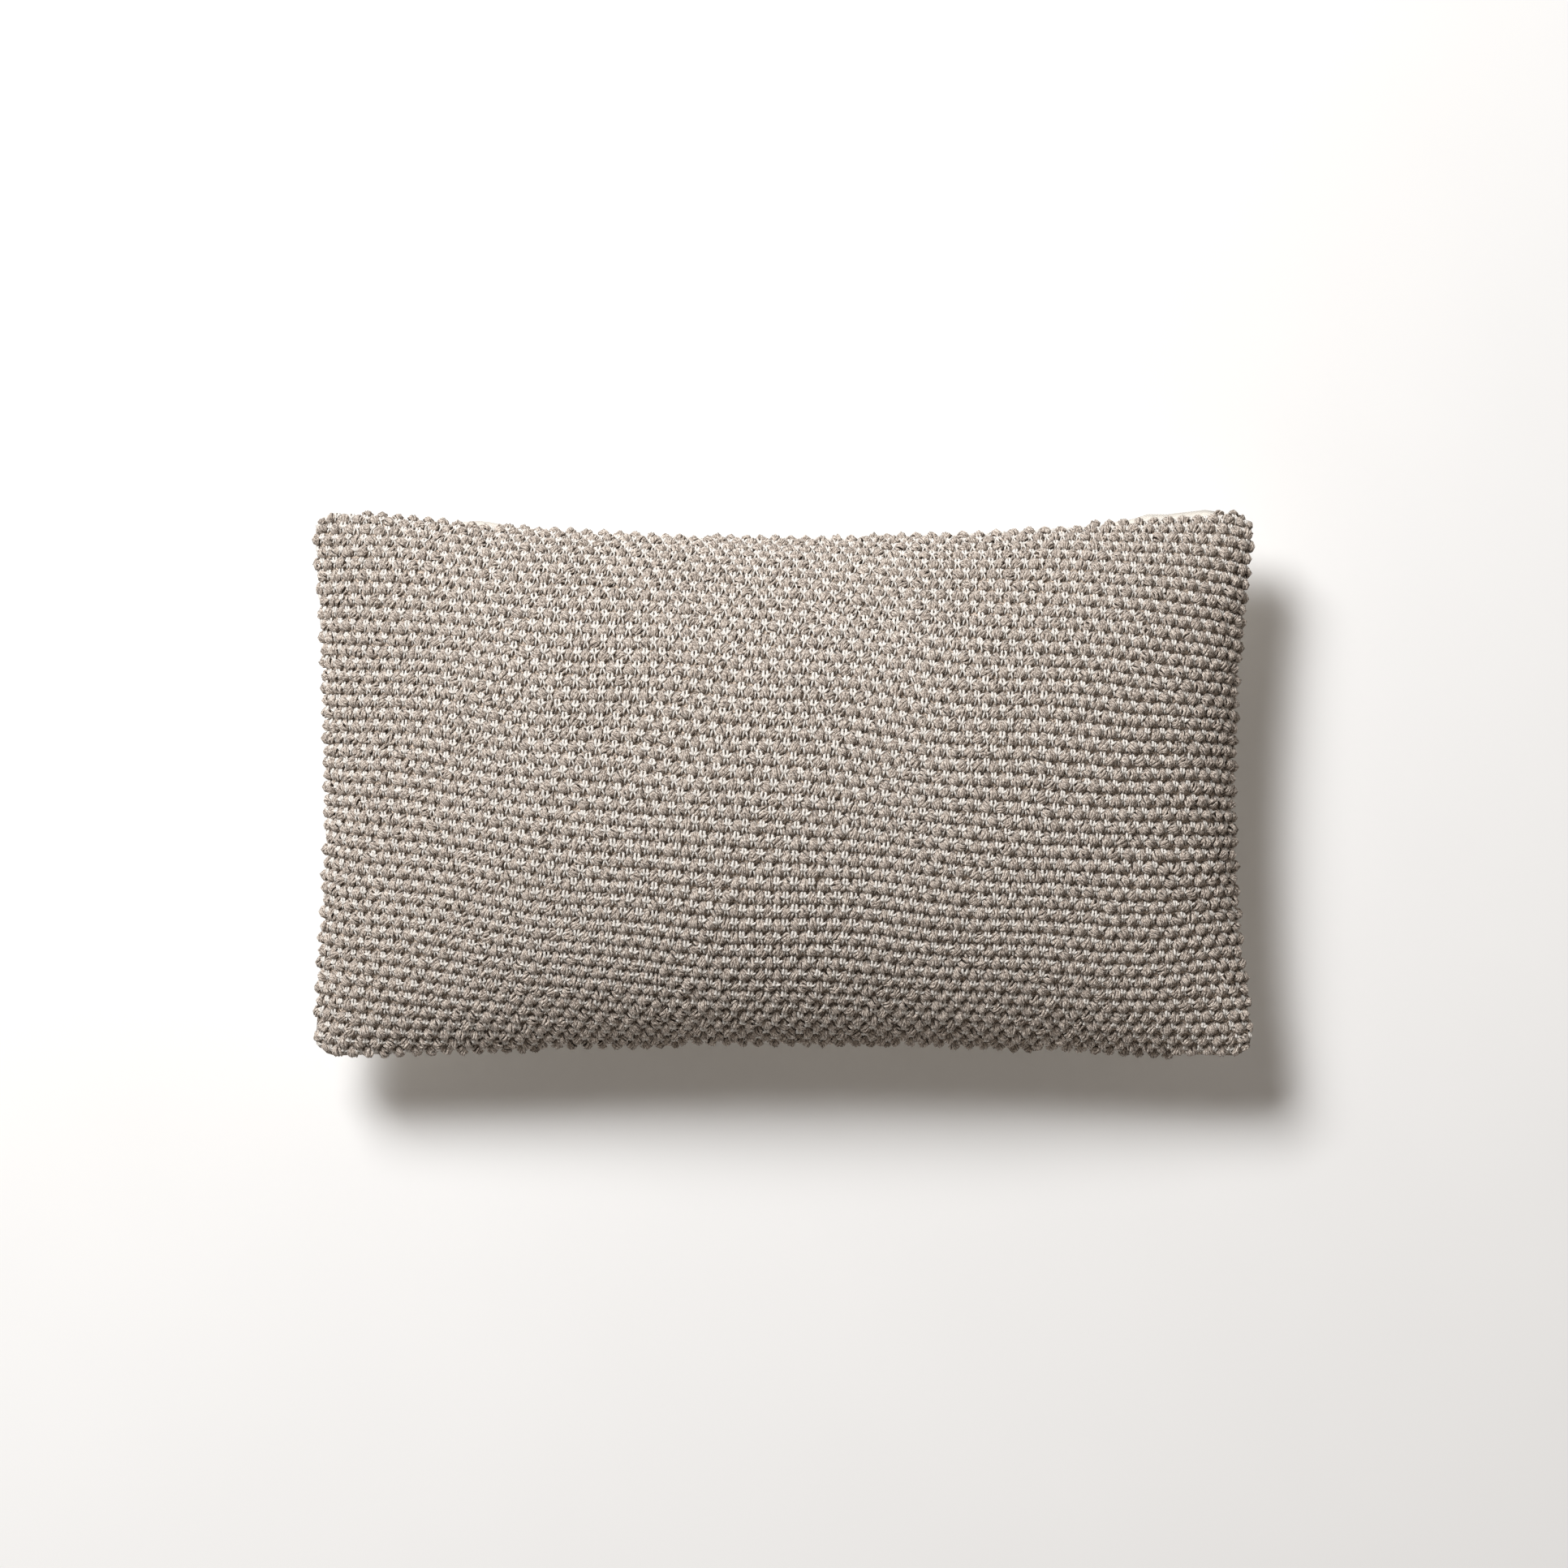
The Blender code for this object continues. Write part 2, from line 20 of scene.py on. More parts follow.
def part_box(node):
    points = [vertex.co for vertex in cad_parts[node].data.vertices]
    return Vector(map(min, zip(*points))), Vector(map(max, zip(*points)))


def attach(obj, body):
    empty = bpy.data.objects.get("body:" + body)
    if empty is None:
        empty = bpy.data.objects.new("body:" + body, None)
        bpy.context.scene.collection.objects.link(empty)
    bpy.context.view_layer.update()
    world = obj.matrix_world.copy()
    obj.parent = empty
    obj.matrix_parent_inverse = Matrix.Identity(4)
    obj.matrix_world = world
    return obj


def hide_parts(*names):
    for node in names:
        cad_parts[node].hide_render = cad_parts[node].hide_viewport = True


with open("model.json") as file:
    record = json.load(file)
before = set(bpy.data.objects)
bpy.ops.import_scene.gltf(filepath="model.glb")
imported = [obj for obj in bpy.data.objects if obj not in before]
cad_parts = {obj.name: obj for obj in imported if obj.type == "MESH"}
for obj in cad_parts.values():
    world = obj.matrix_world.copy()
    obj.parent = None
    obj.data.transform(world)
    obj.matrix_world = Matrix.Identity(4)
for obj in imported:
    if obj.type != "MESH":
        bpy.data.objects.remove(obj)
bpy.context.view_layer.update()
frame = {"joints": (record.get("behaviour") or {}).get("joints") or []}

bl_info = {
    "name": "Lumbar Pillow",
    "version": (1, 0, 0),
    "blender": (4, 5, 0),
    "location": "View3D > Sidebar > Pillow",
    "description": "Builds a knitted lumbar pillow round its CAD frame",
    "category": "Add Mesh",
}

COVER_LOW, COVER_HIGH = (np.array(corner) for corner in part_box("front_panel"))
JOINTS = {joint["name"]: joint for joint in frame["joints"]}
ARC_CENTRE = Vector(JOINTS["slider_run"]["pos_m"])
SEAM_Z = ARC_CENTRE.z
SIDES = (1, -1)
FACES = {1: "front", -1: "back"}
TINY = 1e-9


# ---------------------------------------------------------------- settings


def length(name, default, description):
    """A length property, in metres."""
    return FloatProperty(
        name=name, default=default, description=description, unit="LENGTH", precision=5
    )


def number(name, default, description):
    """A plain number property."""
    return FloatProperty(name=name, default=default, description=description)


def colour(name, default, description):
    """A linear colour property."""
    return FloatVectorProperty(
        name=name, default=default, description=description, subtype="COLOR", size=3, min=0, max=1
    )


class PILLOW_PG_cover(PropertyGroup):
    """Cut and stuffed shape of the cover."""

    cut_length: length("Cut length", 0.600, "Finished length of the flat cover")
    cut_width: length("Cut width", 0.350, "Finished width of the flat cover")
    corner_drop: length("Corner drop", 0.003, "How far each corner's rounding draws it in")
    outline_ease: length("Outline ease", 0.0014, "How far the soft outline swells past the frame")
    corner_radius: length("Corner radius", 0.012, "Radius of the corners seen from above")
    top_sag: length("Top sag", 0.020, "How far the top edge pulls in between its corners")
    bottom_sag: length("Bottom sag", 0.012, "How far the bottom edge pulls in")
    left_sag: length("Left sag", 0.0105, "How far the left edge pulls in")
    right_sag: length("Right sag", 0.015, "How far the right edge pulls in")
    crown_power: number("Crown power", 0.60, "0.5 is an elliptic section and 1 a parabolic one")
    front_rise: length("Front rise", 0.0815, "Height of the knit's ground above the seam")
    back_fall: length("Back fall", 0.072, "Depth of the back before the floor flattens it")
    seam_gap: length("Seam gap", 0.0004, "From the seam plane to each folded edge")
    zip_lip: length("Zip lip", 0.0027, "From the seam plane to each folded edge along the zip")
    zip_fold: length("Zip fold", 0.0048, "From the seam plane to the turned-in cloth at the zip")
    zip_reach: length("Zip reach", 0.2016, "Half length over which the edges stand open")
    zip_blend: length("Zip blend", 0.016, "Length over which they close again")
    allowance: length("Allowance", 0.010, "Width of the turned-in cloth")
    knit_thickness: length("Knit thickness", 0.0018, "Thickness of the knit's ground")
    woven_thickness: length("Woven thickness", 0.0011, "Thickness of the back cloth")
    grid: IntProperty(name="Grid", default=96, description="Grid faces along the cover's length")
    pressure: number("Pressure", 2.5, "Pressure of the filling on the cloth")
    settle_frames: IntProperty(name="Settle frames", default=14, description="Frames of settling")
    settle_limit: length("Settle limit", 0.008, "How far a point may move as the cloth settles")


class PILLOW_PG_knit(PropertyGroup):
    """Gauge, yarns and colours of the knit."""

    pitch: length("Pitch", 0.0096, "Distance between bobbles in a row")
    row: length("Row", 0.00785, "Distance between rows")
    row_skew: number("Row skew", 4.2, "Degrees by which rows run down to the right")
    column_lean: number("Column lean", 1.7, "Degrees by which columns lean to the right going up")
    bobble_width: length("Bobble width", 0.0080, "Width of a bobble")
    bobble_length: length("Bobble length", 0.0078, "Length of a bobble along its column")
    bobble_rise: length("Bobble rise", 0.0047, "Height of a bobble over the ground")
    strand: length("Strand", 0.00092, "Radius of a taupe strand")
    cream_strand: length("Cream strand", 0.00086, "Radius of a cream strand")
    cream_lift: length("Cream lift", 0.0010, "How far cream stitches sit above the bobbles")
    drift: length("Drift", 0.0008, "How far rows wander from straight")
    taupe: colour("Taupe", (0.54, 0.455, 0.39), "Middle colour of the marl yarn")
    taupe_light: colour("Light taupe", (0.88, 0.80, 0.71), "Light flecks of the marl yarn")
    taupe_dark: colour("Dark taupe", (0.16, 0.125, 0.10), "Dark flecks of the marl yarn")
    cream: colour("Cream", (0.86, 0.82, 0.77), "Cream yarn")
    # The ground's colour is its own taupe darkened with painted shade, so the gaps between the
    # bobbles look shadowed.
    shade: colour("Shade", (0.43, 0.36, 0.30), "Ground between the yarns")


class PILLOW_PG_trim(PropertyGroup):
    """Sizes and colours of the back, the insert, the seams and the zip."""

    woven: colour("Woven", (0.80, 0.755, 0.68), "Back cloth")
    ticking: colour("Ticking", (0.83, 0.82, 0.79), "Insert case")
    fibre: colour("Fibre", (0.88, 0.88, 0.87), "Filling")
    thread: colour("Thread", (0.72, 0.67, 0.59), "Sewing thread")
    tape: colour("Tape", (0.70, 0.65, 0.57), "Zip tape")
    nylon: colour("Nylon", (0.74, 0.70, 0.62), "Zip coil")
    enamel: colour("Enamel", (0.66, 0.62, 0.55), "Zip slider, pull and stops")
    satin: colour("Satin", (0.88, 0.87, 0.84), "Care label")
    coil_pitch: length("Coil pitch", 0.0016, "Distance between the turns of the zip coil")
    stitch: length("Stitch", 0.0030, "Length of a stitch")
    weave: length("Weave", 0.0009, "Distance between the back cloth's yarns")
    ticking_thickness: length("Ticking thickness", 0.0007, "Thickness of the insert case")
    insert_inset: length("Insert inset", 0.01785, "From the cover's outline to the insert's")
    insert_allowance: length("Insert allowance", 0.008, "Width of the insert's turned-in cloth")
    insert_room: length("Insert room", 0.0033, "From the cover's outside to the insert's")
    fill_inset: length("Fill inset", 0.02785, "From the cover's outline to the filling's")
    fill_room: length("Fill room", 0.0016, "From the insert's outside to the filling")
    chain_length: length("Chain length", 0.390, "Length of the zip's coils")
    slider_length: length("Slider length", 0.009, "Length of the slider")


class PILLOW_PG_stage(PropertyGroup):
    """Camera, floor and light."""

    frame_width: length("Frame width", 0.947, "Width of the picture at the seam plane")
    distance: length("Distance", 2.6, "Camera height above the seam plane")
    floor: colour("Floor", (0.93, 0.93, 0.93), "Floor")
    key: number("Key", 128.0, "Power of the key light")
    backdrop: number("Backdrop", 0.85, "Brightness of the backdrop beyond the floor")
    fill: number("Fill", 0.225, "Strength of the surrounding light")
    fill_tint: colour("Fill tint", (1.0, 0.905, 0.81), "Colour of the surrounding light")


# ---------------------------------------------------------------- stuffed shape


def arc_dip(along, half_chord, sag):
    """How far an edge lies inside its corners, at a distance along it from its middle."""
    radius = (half_chord**2 + sag**2) / (2 * sag)
    along = np.minimum(np.abs(along), half_chord)
    return np.sqrt(radius**2 - along**2) - math.sqrt(radius**2 - half_chord**2)


def plan(u, v, cover, inset=0.0):
    """X and Y of place u, v, each from -1 to 1, inside the outline drawn in by inset."""
    half_x = COVER_HIGH[0] + cover.corner_drop + cover.outline_ease
    half_y = COVER_HIGH[1] + cover.corner_drop + cover.outline_ease
    y_straight = v * half_y
    left = -half_x + arc_dip(y_straight, half_y, cover.left_sag) + inset
    right = half_x - arc_dip(y_straight, half_y, cover.right_sag) - inset
    x = left + (right - left) * (u + 1) / 2
    bottom = -half_y + arc_dip(x, half_x, cover.bottom_sag) + inset
    top = half_y - arc_dip(x, half_x, cover.top_sag) - inset
    y = bottom + (top - bottom) * (v + 1) / 2
    rounding = cover.corner_drop * np.abs(u * v) ** 16
    x, y = x - np.sign(u) * rounding, y - np.sign(v) * rounding
    high, low = (right - rounding, top - rounding), (left + rounding, bottom + rounding)
    return rounded_corner(x, y, high, low, cover.corner_radius)


def rounded_corner(x, y, high, low, radius):
    """Draws each corner's square of points in to a quarter circle."""
    middle_x = np.where(x > 0, high[0] - radius, low[0] + radius)
    middle_y = np.where(y > 0, high[1] - radius, low[1] + radius)
    out_x = np.where(x > 0, x - middle_x, middle_x - x)
    out_y = np.where(y > 0, y - middle_y, middle_y - y)
    far = np.maximum(np.hypot(out_x, out_y), TINY)
    share = np.where((out_x > 0) & (out_y > 0), np.maximum(out_x, out_y) / far, 1.0)
    return middle_x + (x - middle_x) * share, middle_y + (y - middle_y) * share


SECTION_STEPS = 401  # steps along a crowned section when its length is measured
SECTION_LEVELS = 21  # heights at which sections are measured


def even_steps(share, rise, half_span, power):
    """Where along a crowned section the cloth's even steps fall, both from -1 to 1.

    rise is the section's height at each share's place across the other way.
    """
    t = np.sin(np.linspace(-np.pi / 2, np.pi / 2, SECTION_STEPS))
    levels = np.linspace(0, 1, SECTION_LEVELS)
    found = np.empty((len(levels), len(share)))
    for row, level in enumerate(levels):
        height = level * rise * np.clip(1 - t * t, 0, 1) ** power
        run = np.hypot(np.diff(t * half_span), np.diff(height))
        walked = np.concatenate([[0], np.cumsum(run)])
        found[row] = np.interp((share + 1) / 2, walked / walked[-1], t)
    return levels, found


def looked_up(heights, levels, table):
    """A table of places by level, read at each height, as [height, place]."""
    return np.array([[np.interp(at, levels, column) for column in table.T] for at in heights])


def stuffed(side, cover, inset=0.0, rise=None):
    """Grid of points of a panel of the stuffed cover, as [row, column, xyz], before it settles."""
    nx = cover.grid
    ny = round(nx * cover.cut_width / cover.cut_length)
    if rise is None:
        rise = cover.front_rise if side > 0 else cover.back_fall
    power = cover.crown_power
    u, v = np.linspace(-1, 1, nx + 1), np.linspace(-1, 1, ny + 1)
    levels, across = even_steps(u, rise, COVER_HIGH[0] - inset, power)
    _, along = even_steps(v, rise, COVER_HIGH[1] - inset, power)
    tu = looked_up((1 - v**2) ** power, levels, across)
    tv = looked_up((1 - u**2) ** power, levels, along).T
    x, y = plan(tu, tv, cover, inset)
    crown = np.clip((1 - tu**2) * (1 - tv**2), 0, 1) ** power
    return np.stack([x, y, SEAM_Z + side * rise * crown], axis=-1)


def opened(x, cover):
    """1 where the edges stand open for the zip, 0 where they are closed, smooth between."""
    share = np.clip((cover.zip_reach + cover.zip_blend - np.abs(x)) / cover.zip_blend, 0, 1)
    return share * share * (3 - 2 * share)


def part_rims(points, side, cover):
    """Moves a panel's rim off the seam plane, further along the zip."""
    away, j = from_rim(points)
    parted = (cover.zip_lip - cover.seam_gap) * opened(points[..., 0], cover) * np.exp(-j / 2)
    height = np.abs(points[..., 2] - SEAM_Z) + cover.seam_gap * np.exp(-away / 2) + parted
    points[..., 2] = SEAM_Z + side * height


def cloth_mesh(name, front, back, flat):
    """A closed mesh of two panels that share their rim, with a shape key of their flat cut."""
    number_of = numbered(*span(front))
    back_number = number_of.copy()
    inner = np.zeros_like(number_of, dtype=bool)
    inner[1:-1, 1:-1] = True
    back_number[inner] = number_of.size + np.arange(inner.sum())
    points = np.concatenate([front.reshape(-1, 3), back[inner]])
    cut = np.concatenate([flat.reshape(-1, 3), (flat * (1, 1, -1))[inner]])

    faces = np.concatenate([quads_of(number_of), quads_of(back_number, -1)])
    mesh = bpy.data.meshes.new(name)
    mesh.from_pydata(points.tolist(), [], faces.tolist())
    obj = bpy.data.objects.new(name, mesh)
    bpy.context.scene.collection.objects.link(obj)
    obj.shape_key_add(name="stuffed")
    key = obj.shape_key_add(name="flat_cut")
    key.data.foreach_set("co", cut.ravel())
    rim = obj.vertex_groups.new(name="seam")
    rim.add([int(n) for n in number_of[~inner]], 1.0, "REPLACE")
    return obj, key, number_of, back_number


CLOTH = {
    "quality": 5,
    "mass": 0.3,
    "tension_stiffness": 12,
    "tension_damping": 12,
    "compression_stiffness": 6,
    "compression_damping": 10,
    "shear_stiffness": 2,
    "shear_damping": 6,
    "bending_stiffness": 1.2,
    "bending_damping": 1,
}
FLAT_LIFT = 0.0002  # what keeps the two flat cuts apart in their middles


def settle(front, back, cover):
    """Lets both panels' cloth settle over the filling, its seam held, and gives their points."""
    u, v = shares(front)
    lift = FLAT_LIFT * (1 - u**2) * (1 - v**2)
    flat = np.stack([u * cover.cut_length / 2, v * cover.cut_width / 2, lift], -1)
    obj, key, front_number, back_number = cloth_mesh("settling_cloth", front, back, flat)
    scene = bpy.context.scene
    bpy.context.view_layer.objects.active = obj
    modifier = obj.modifiers.new("Cloth", "CLOTH")
    modifier.point_cache.frame_end = cover.settle_frames
    cloth = modifier.settings
    cloth.rest_shape_key = key
    cloth.vertex_group_mass = "seam"
    for setting, value in CLOTH.items():
        setattr(cloth, setting, value)
    cloth.use_pressure = True
    cloth.uniform_pressure_force = cover.pressure
    cloth.effector_weights.gravity = 0
    for now in range(1, cover.settle_frames + 1):
        scene.frame_set(now)
    evaluated = obj.evaluated_get(bpy.context.evaluated_depsgraph_get())
    points = np.empty(len(evaluated.data.vertices) * 3)
    evaluated.data.vertices.foreach_get("co", points)
    points = points.reshape(-1, 3)
    scene.frame_set(1)
    bpy.data.objects.remove(obj)
    settled = []
    for start, numbers in ((front, front_number), (back, back_number)):
        move = points[numbers] - start
        far = np.linalg.norm(move, axis=-1, keepdims=True)
        settled.append(start + move * np.minimum(1, cover.settle_limit / np.maximum(far, TINY)))
    return settled


def smooth_floor(z, floor, soft=0.003):
    """z, turned level where it would pass below the floor."""
    over = (z - floor) / soft
    straight = 20  # past this the curve is its own straight line
    curve = np.log1p(np.exp(np.minimum(over, straight)))
    return floor + soft * np.where(over > straight, over, curve)


def puckers(points, side, seed, size=0.0011):
    """Ripples that the seam gathers into the cloth, which die out away from it."""
    rng = np.random.default_rng(seed)
    u, v = shares(points)
    total = np.zeros(points.shape[:2])
    long_edge, short_edge = (u, v, 0.30, 0.175), (v, u, 0.17, 0.30)
    for (along, across, reach, depth), edge in (
        (long_edge, -1), (long_edge, 1), (short_edge, -1), (short_edge, 1)
    ):
        away = (1 - edge * across) * depth
        wave = np.zeros_like(total)
        for _ in range(7):
            pitch = rng.uniform(0.016, 0.042)
            lean = rng.uniform(-0.5, 0.5)
            phase = rng.uniform(0, 2 * np.pi)
            local = 0.5 + 0.5 * np.sin(along * rng.uniform(3, 9) + rng.uniform(0, 6))
            wave += local * np.sin(2 * np.pi * (along * reach + lean * away) / pitch + phase)
        total += wave * size * np.exp(-away / 0.022) * (1 - np.exp(-away / 0.004))
    normal = grid_normals(points, side)
    return points + normal * total[..., None]


def span(points):
    """How many faces a grid of points has, as rows and columns."""
    return points.shape[0] - 1, points.shape[1] - 1


def shares(points):
    """Where a grid's points lie across it, each way from -1 to 1."""
    ny, nx = span(points)
    return np.meshgrid(np.linspace(-1, 1, nx + 1), np.linspace(-1, 1, ny + 1))


def from_rim(points):
    """How many faces a grid's points lie from its rim, and from its bottom edge."""
    ny, nx = span(points)
    i, j = np.meshgrid(np.arange(nx + 1), np.arange(ny + 1))
    return np.minimum(np.minimum(i, nx - i), np.minimum(j, ny - j)), j


def grid_normals(points, side):
    """Outward normals at the points of a panel's grid."""
    du = np.gradient(points, axis=1)
    dv = np.gradient(points, axis=0)
    normal = np.cross(du, dv) * side
    return normal / np.maximum(np.linalg.norm(normal, axis=-1, keepdims=True), 1e-12)


SHAPES = {}


def panels(cover):
    """The settled front and back panels' points, worked out once."""
    if not SHAPES:
        front, back = stuffed(1, cover), stuffed(-1, cover)
        front, back = settle(front, back, cover)
        rise = front[..., 2] - SEAM_Z
        front[..., 2] = SEAM_Z + rise * (cover.front_rise / rise.max())
        back = puckers(back, -1, seed=4)
        back[..., 2] = smooth_floor(back[..., 2], 0.0)
        for points, side in ((front, 1), (back, -1)):
            part_rims(points, side, cover)
            SHAPES[side] = points
    return SHAPES[1], SHAPES[-1]


TUCK = 0.0030  # width over which what is laid on a panel is squeezed into its seam


class Surface:
    """A panel's outer surface, to place things on by their position on the flat cut."""

    def __init__(self, points, side, cover):
        self.points = points
        self.normals = grid_normals(points, side)
        self.half = np.array([cover.cut_length, cover.cut_width]) / 2
        self.steps = np.array([points.shape[1] - 1, points.shape[0] - 1])

    def at(self, flat, height):
        """Points above the flat places flat, as [..., xy], by height."""
        over = np.maximum(np.abs(flat) - self.half + TUCK, 0)
        flat = flat - np.sign(flat) * (over - TUCK * (1 - np.exp(-over / TUCK)))
        place = np.clip((flat / self.half + 1) / 2, 0, 1) * self.steps
        cell = np.minimum(place.astype(int), self.steps - 1)
        share = place - cell
        bent = self._cubic(self.points, cell, share)
        normal = self._linear(self.normals, cell, share)
        return bent + normal * height[..., None]

    def _pick(self, grid, i, j):
        return grid[np.clip(j, 0, self.steps[1]), np.clip(i, 0, self.steps[0])]

    def _linear(self, grid, cell, share):
        i, j = cell[..., 0], cell[..., 1]
        s, t = share[..., :1], share[..., 1:]
        low = self._pick(grid, i, j) * (1 - s) + self._pick(grid, i + 1, j) * s
        high = self._pick(grid, i, j + 1) * (1 - s) + self._pick(grid, i + 1, j + 1) * s
        return low * (1 - t) + high * t

    def _cubic(self, grid, cell, share):
        def weights(t):
            return (
                ((2 - t) * t - 1) * t / 2,
                ((3 * t - 5) * t * t + 2) / 2,
                ((4 - 3 * t) * t + 1) * t / 2,
                (t - 1) * t * t / 2,
            )

        total = 0
        for row, row_weight in enumerate(weights(share[..., 1:])):
            for column, weight in enumerate(weights(share[..., :1])):
                picked = self._pick(grid, cell[..., 0] + column - 1, cell[..., 1] + row - 1)
                total = total + picked * row_weight * weight
        return total


# ---------------------------------------------------------------- finishes


class Value:
    """A number in a material, whose operators add Math nodes."""

    def __init__(self, finish, socket):
        self.finish, self.socket = finish, socket

    def maths(self, operation, *others):
        return self.finish.maths(operation, self, *others)

    def __add__(self, other):
        return self.maths("ADD", other)

    def __sub__(self, other):
        return self.maths("SUBTRACT", other)

    def __rsub__(self, other):
        return self.finish.maths("SUBTRACT", other, self)

    def __mul__(self, other):
        return self.maths("MULTIPLY", other)

    __radd__ = __add__
    __rmul__ = __mul__


class Finish:
    """A material in the making."""

    def __init__(self, name, roughness=0.9, **constants):
        self.material = bpy.data.materials.new(name)
        self.material.use_nodes = True
        self.nodes = self.material.node_tree.nodes
        self.links = self.material.node_tree.links
        self.shader = self.nodes["Principled BSDF"]
        self.set(self.shader, {"Roughness": roughness, **constants})

    def set(self, node, values):
        """Sets or links a node's sockets, given by name or number."""
        for socket, value in values.items():
            entry = node.inputs[socket]
            if isinstance(value, Value):
                self.links.new(value.socket, entry)
            elif isinstance(value, bpy.types.NodeSocket):
                self.links.new(value, entry)
            else:
                entry.default_value = value

    def node(self, kind, settings=None, values=None):
        """A node of a kind, with its settings and then its sockets set."""
        node = self.nodes.new(kind)
        for name, value in (settings or {}).items():
            if name == "stops":
                self.set_stops(node.color_ramp, value)
            else:
                setattr(node, name, value)
        self.set(node, values or {})
        return node

    @staticmethod
    def set_stops(ramp, stops):
        """Gives a colour ramp its (place, colour) stops."""
        while len(ramp.elements) < len(stops):
            ramp.elements.new(0.5)
        for element, (place, tone) in zip(ramp.elements, stops):
            element.position = place
            element.color = (*tone, 1)

    def maths(self, operation, *values):
        made = self.node("ShaderNodeMath", {"operation": operation}, dict(enumerate(values)))
        return Value(self, made.outputs[0])

    def parts(self, vector):
        """The X, Y and Z of a vector."""
        made = self.node("ShaderNodeSeparateXYZ", values={0: vector})
        return [Value(self, output) for output in made.outputs]

    def vector(self, x, y, z=0.0):
        return self.node("ShaderNodeCombineXYZ", values={0: x, 1: y, 2: z}).outputs[0]

    def place(self):
        """The point's place on the pillow."""
        return self.node("ShaderNodeTexCoord").outputs["Object"]

    def map(self, name):
        """The place on a named UV map."""
        return self.node("ShaderNodeUVMap", {"uv_map": name}).outputs[0]

    def noise(self, vector, scale, detail=2.0, roughness=0.5):
        values = {"Vector": vector, "Scale": scale, "Detail": detail, "Roughness": roughness}
        return Value(self, self.node("ShaderNodeTexNoise", values=values).outputs[0])

    def ramp(self, value, stops):
        return self.node("ShaderNodeValToRGB", {"stops": stops}, {0: value}).outputs[0]

    def coat(self, colour, height=None, depth=0.001, strength=1.0, roughness=None):
        """Feeds the shader, with height as a relief of a depth, and gives the material."""
        values = {"Base Color": colour}
        if roughness is not None:
            values["Roughness"] = roughness
        if height is not None:
            relief = {"Strength": strength, "Distance": depth, "Height": height}
            values["Normal"] = self.node("ShaderNodeBump", values=relief).outputs[0]
        self.set(self.shader, values)
        return self.material


def shaded(colour, by):
    """A colour made lighter or darker."""
    return tuple(min(1.0, channel * by) for channel in colour)


def woven_relief(finish, place, pitch):
    """Height of a plain weave on a flat cloth place in metres, from 0 to 1, and its slubs."""
    x, y, _ = finish.parts(place)
    turn = math.pi / pitch
    over = (x * turn).maths("SINE") * (y * turn).maths("SINE")
    across = finish.noise(finish.vector(x * (1 / pitch), y * 14, 0.0), 1.0)
    along = finish.noise(finish.vector(x * 14, y * (1 / pitch), 3.0), 1.0)
    slub = (across + along) * 0.5
    return over * 0.5 + 0.5, slub


def woven_finish(name, colour, pitch, relief, roughness=0.9, sheen=0.15):
    """Plainly woven cloth."""
    finish = Finish(name, roughness, **{"Sheen Weight": sheen, "Sheen Roughness": 0.5, "IOR": 1.4})
    over, slub = woven_relief(finish, finish.map("cut"), pitch)
    worn = finish.noise(finish.place(), 18.0, 3.0)
    tone = slub * 0.55 + over * 0.25 + worn * 0.30
    stops = [(0.30, shaded(colour, 0.74)), (0.55, colour[:3]), (0.80, shaded(colour, 1.14))]
    return finish.coat(finish.ramp(tone, stops), over * 0.6 + slub * 0.8, relief, 0.9)


def yarn_finish(name, dark, middle, light, plies, lay, relief):
    """Twisted marl yarn on a map of (turns round the yarn, metres along it)."""
    finish = Finish(name, 0.95, **{"Sheen Weight": 0.3, "Sheen Roughness": 0.6, "IOR": 1.35})
    around, along, _ = finish.parts(finish.map("yarn"))
    twist = (around * plies + along * (1 / lay)) * (2 * math.pi)
    ply = twist.maths("SINE") * 0.5 + 0.5
    fibre = finish.noise(finish.vector(around * 7, along * 1200, 0.0), 1.0, 3.0, 0.7)
    marl = finish.noise(finish.vector(around * 3.6 + along * 160, along * 640, 5.0), 1.0, 2.0, 0.6)
    tone = marl * 0.70 + fibre * 0.30 + (ply - 0.5) * 0.09
    stops = [(0.435, dark[:3]), (0.485, middle[:3]), (0.525, middle[:3]), (0.585, light[:3])]
    return finish.coat(finish.ramp(tone, stops), ply * 0.25 + fibre * 0.8 + marl * 0.7, relief, 1.0)


def ground_finish(knit):
    """The knit's ground between the bobbles: its own taupe, darkened with painted shade."""
    finish = Finish("knit_ground", 1.0, **{"IOR": 1.3})
    x, y, _ = finish.parts(finish.map("cut"))
    wale = (x * (2 * math.pi / 0.0026)).maths("SINE")
    course = (y * (2 * math.pi / 0.0021)).maths("SINE")
    stitch = wale * course
    fuzz = finish.noise(finish.place(), 900.0, 3.0)
    tone = fuzz + stitch * 0.06
    dark, light = shaded(knit.shade, 0.4), shaded(knit.shade, 1.9)
    stops = [(0.36, dark), (0.47, knit.shade[:3]), (0.62, light)]
    return finish.coat(finish.ramp(tone, stops), stitch * 0.3 + fuzz, 0.0010, 1.0)


def thread_finish(name, colour, uv=None):
    """Sewing thread."""
    finish = Finish(name, 0.6, **{"Sheen Weight": 0.2, "IOR": 1.45})
    if uv:
        around, along, _ = finish.parts(finish.map(uv))
        twist = ((around * 2 + along * 1400) * (2 * math.pi)).maths("SINE")
    else:
        x, y, z = finish.parts(finish.place())
        twist = ((x + y) * 5200 + z * 4200).maths("SINE")
    fibre = finish.noise(finish.place(), 2500.0)
    tone = twist * 0.2 + fibre * 0.6 + 0.2
    stops = [(0.3, shaded(colour, 0.7)), (0.6, colour[:3]), (0.85, shaded(colour, 1.15))]
    return finish.coat(finish.ramp(tone, stops), twist * 0.5 + fibre, 0.0002, 0.7)


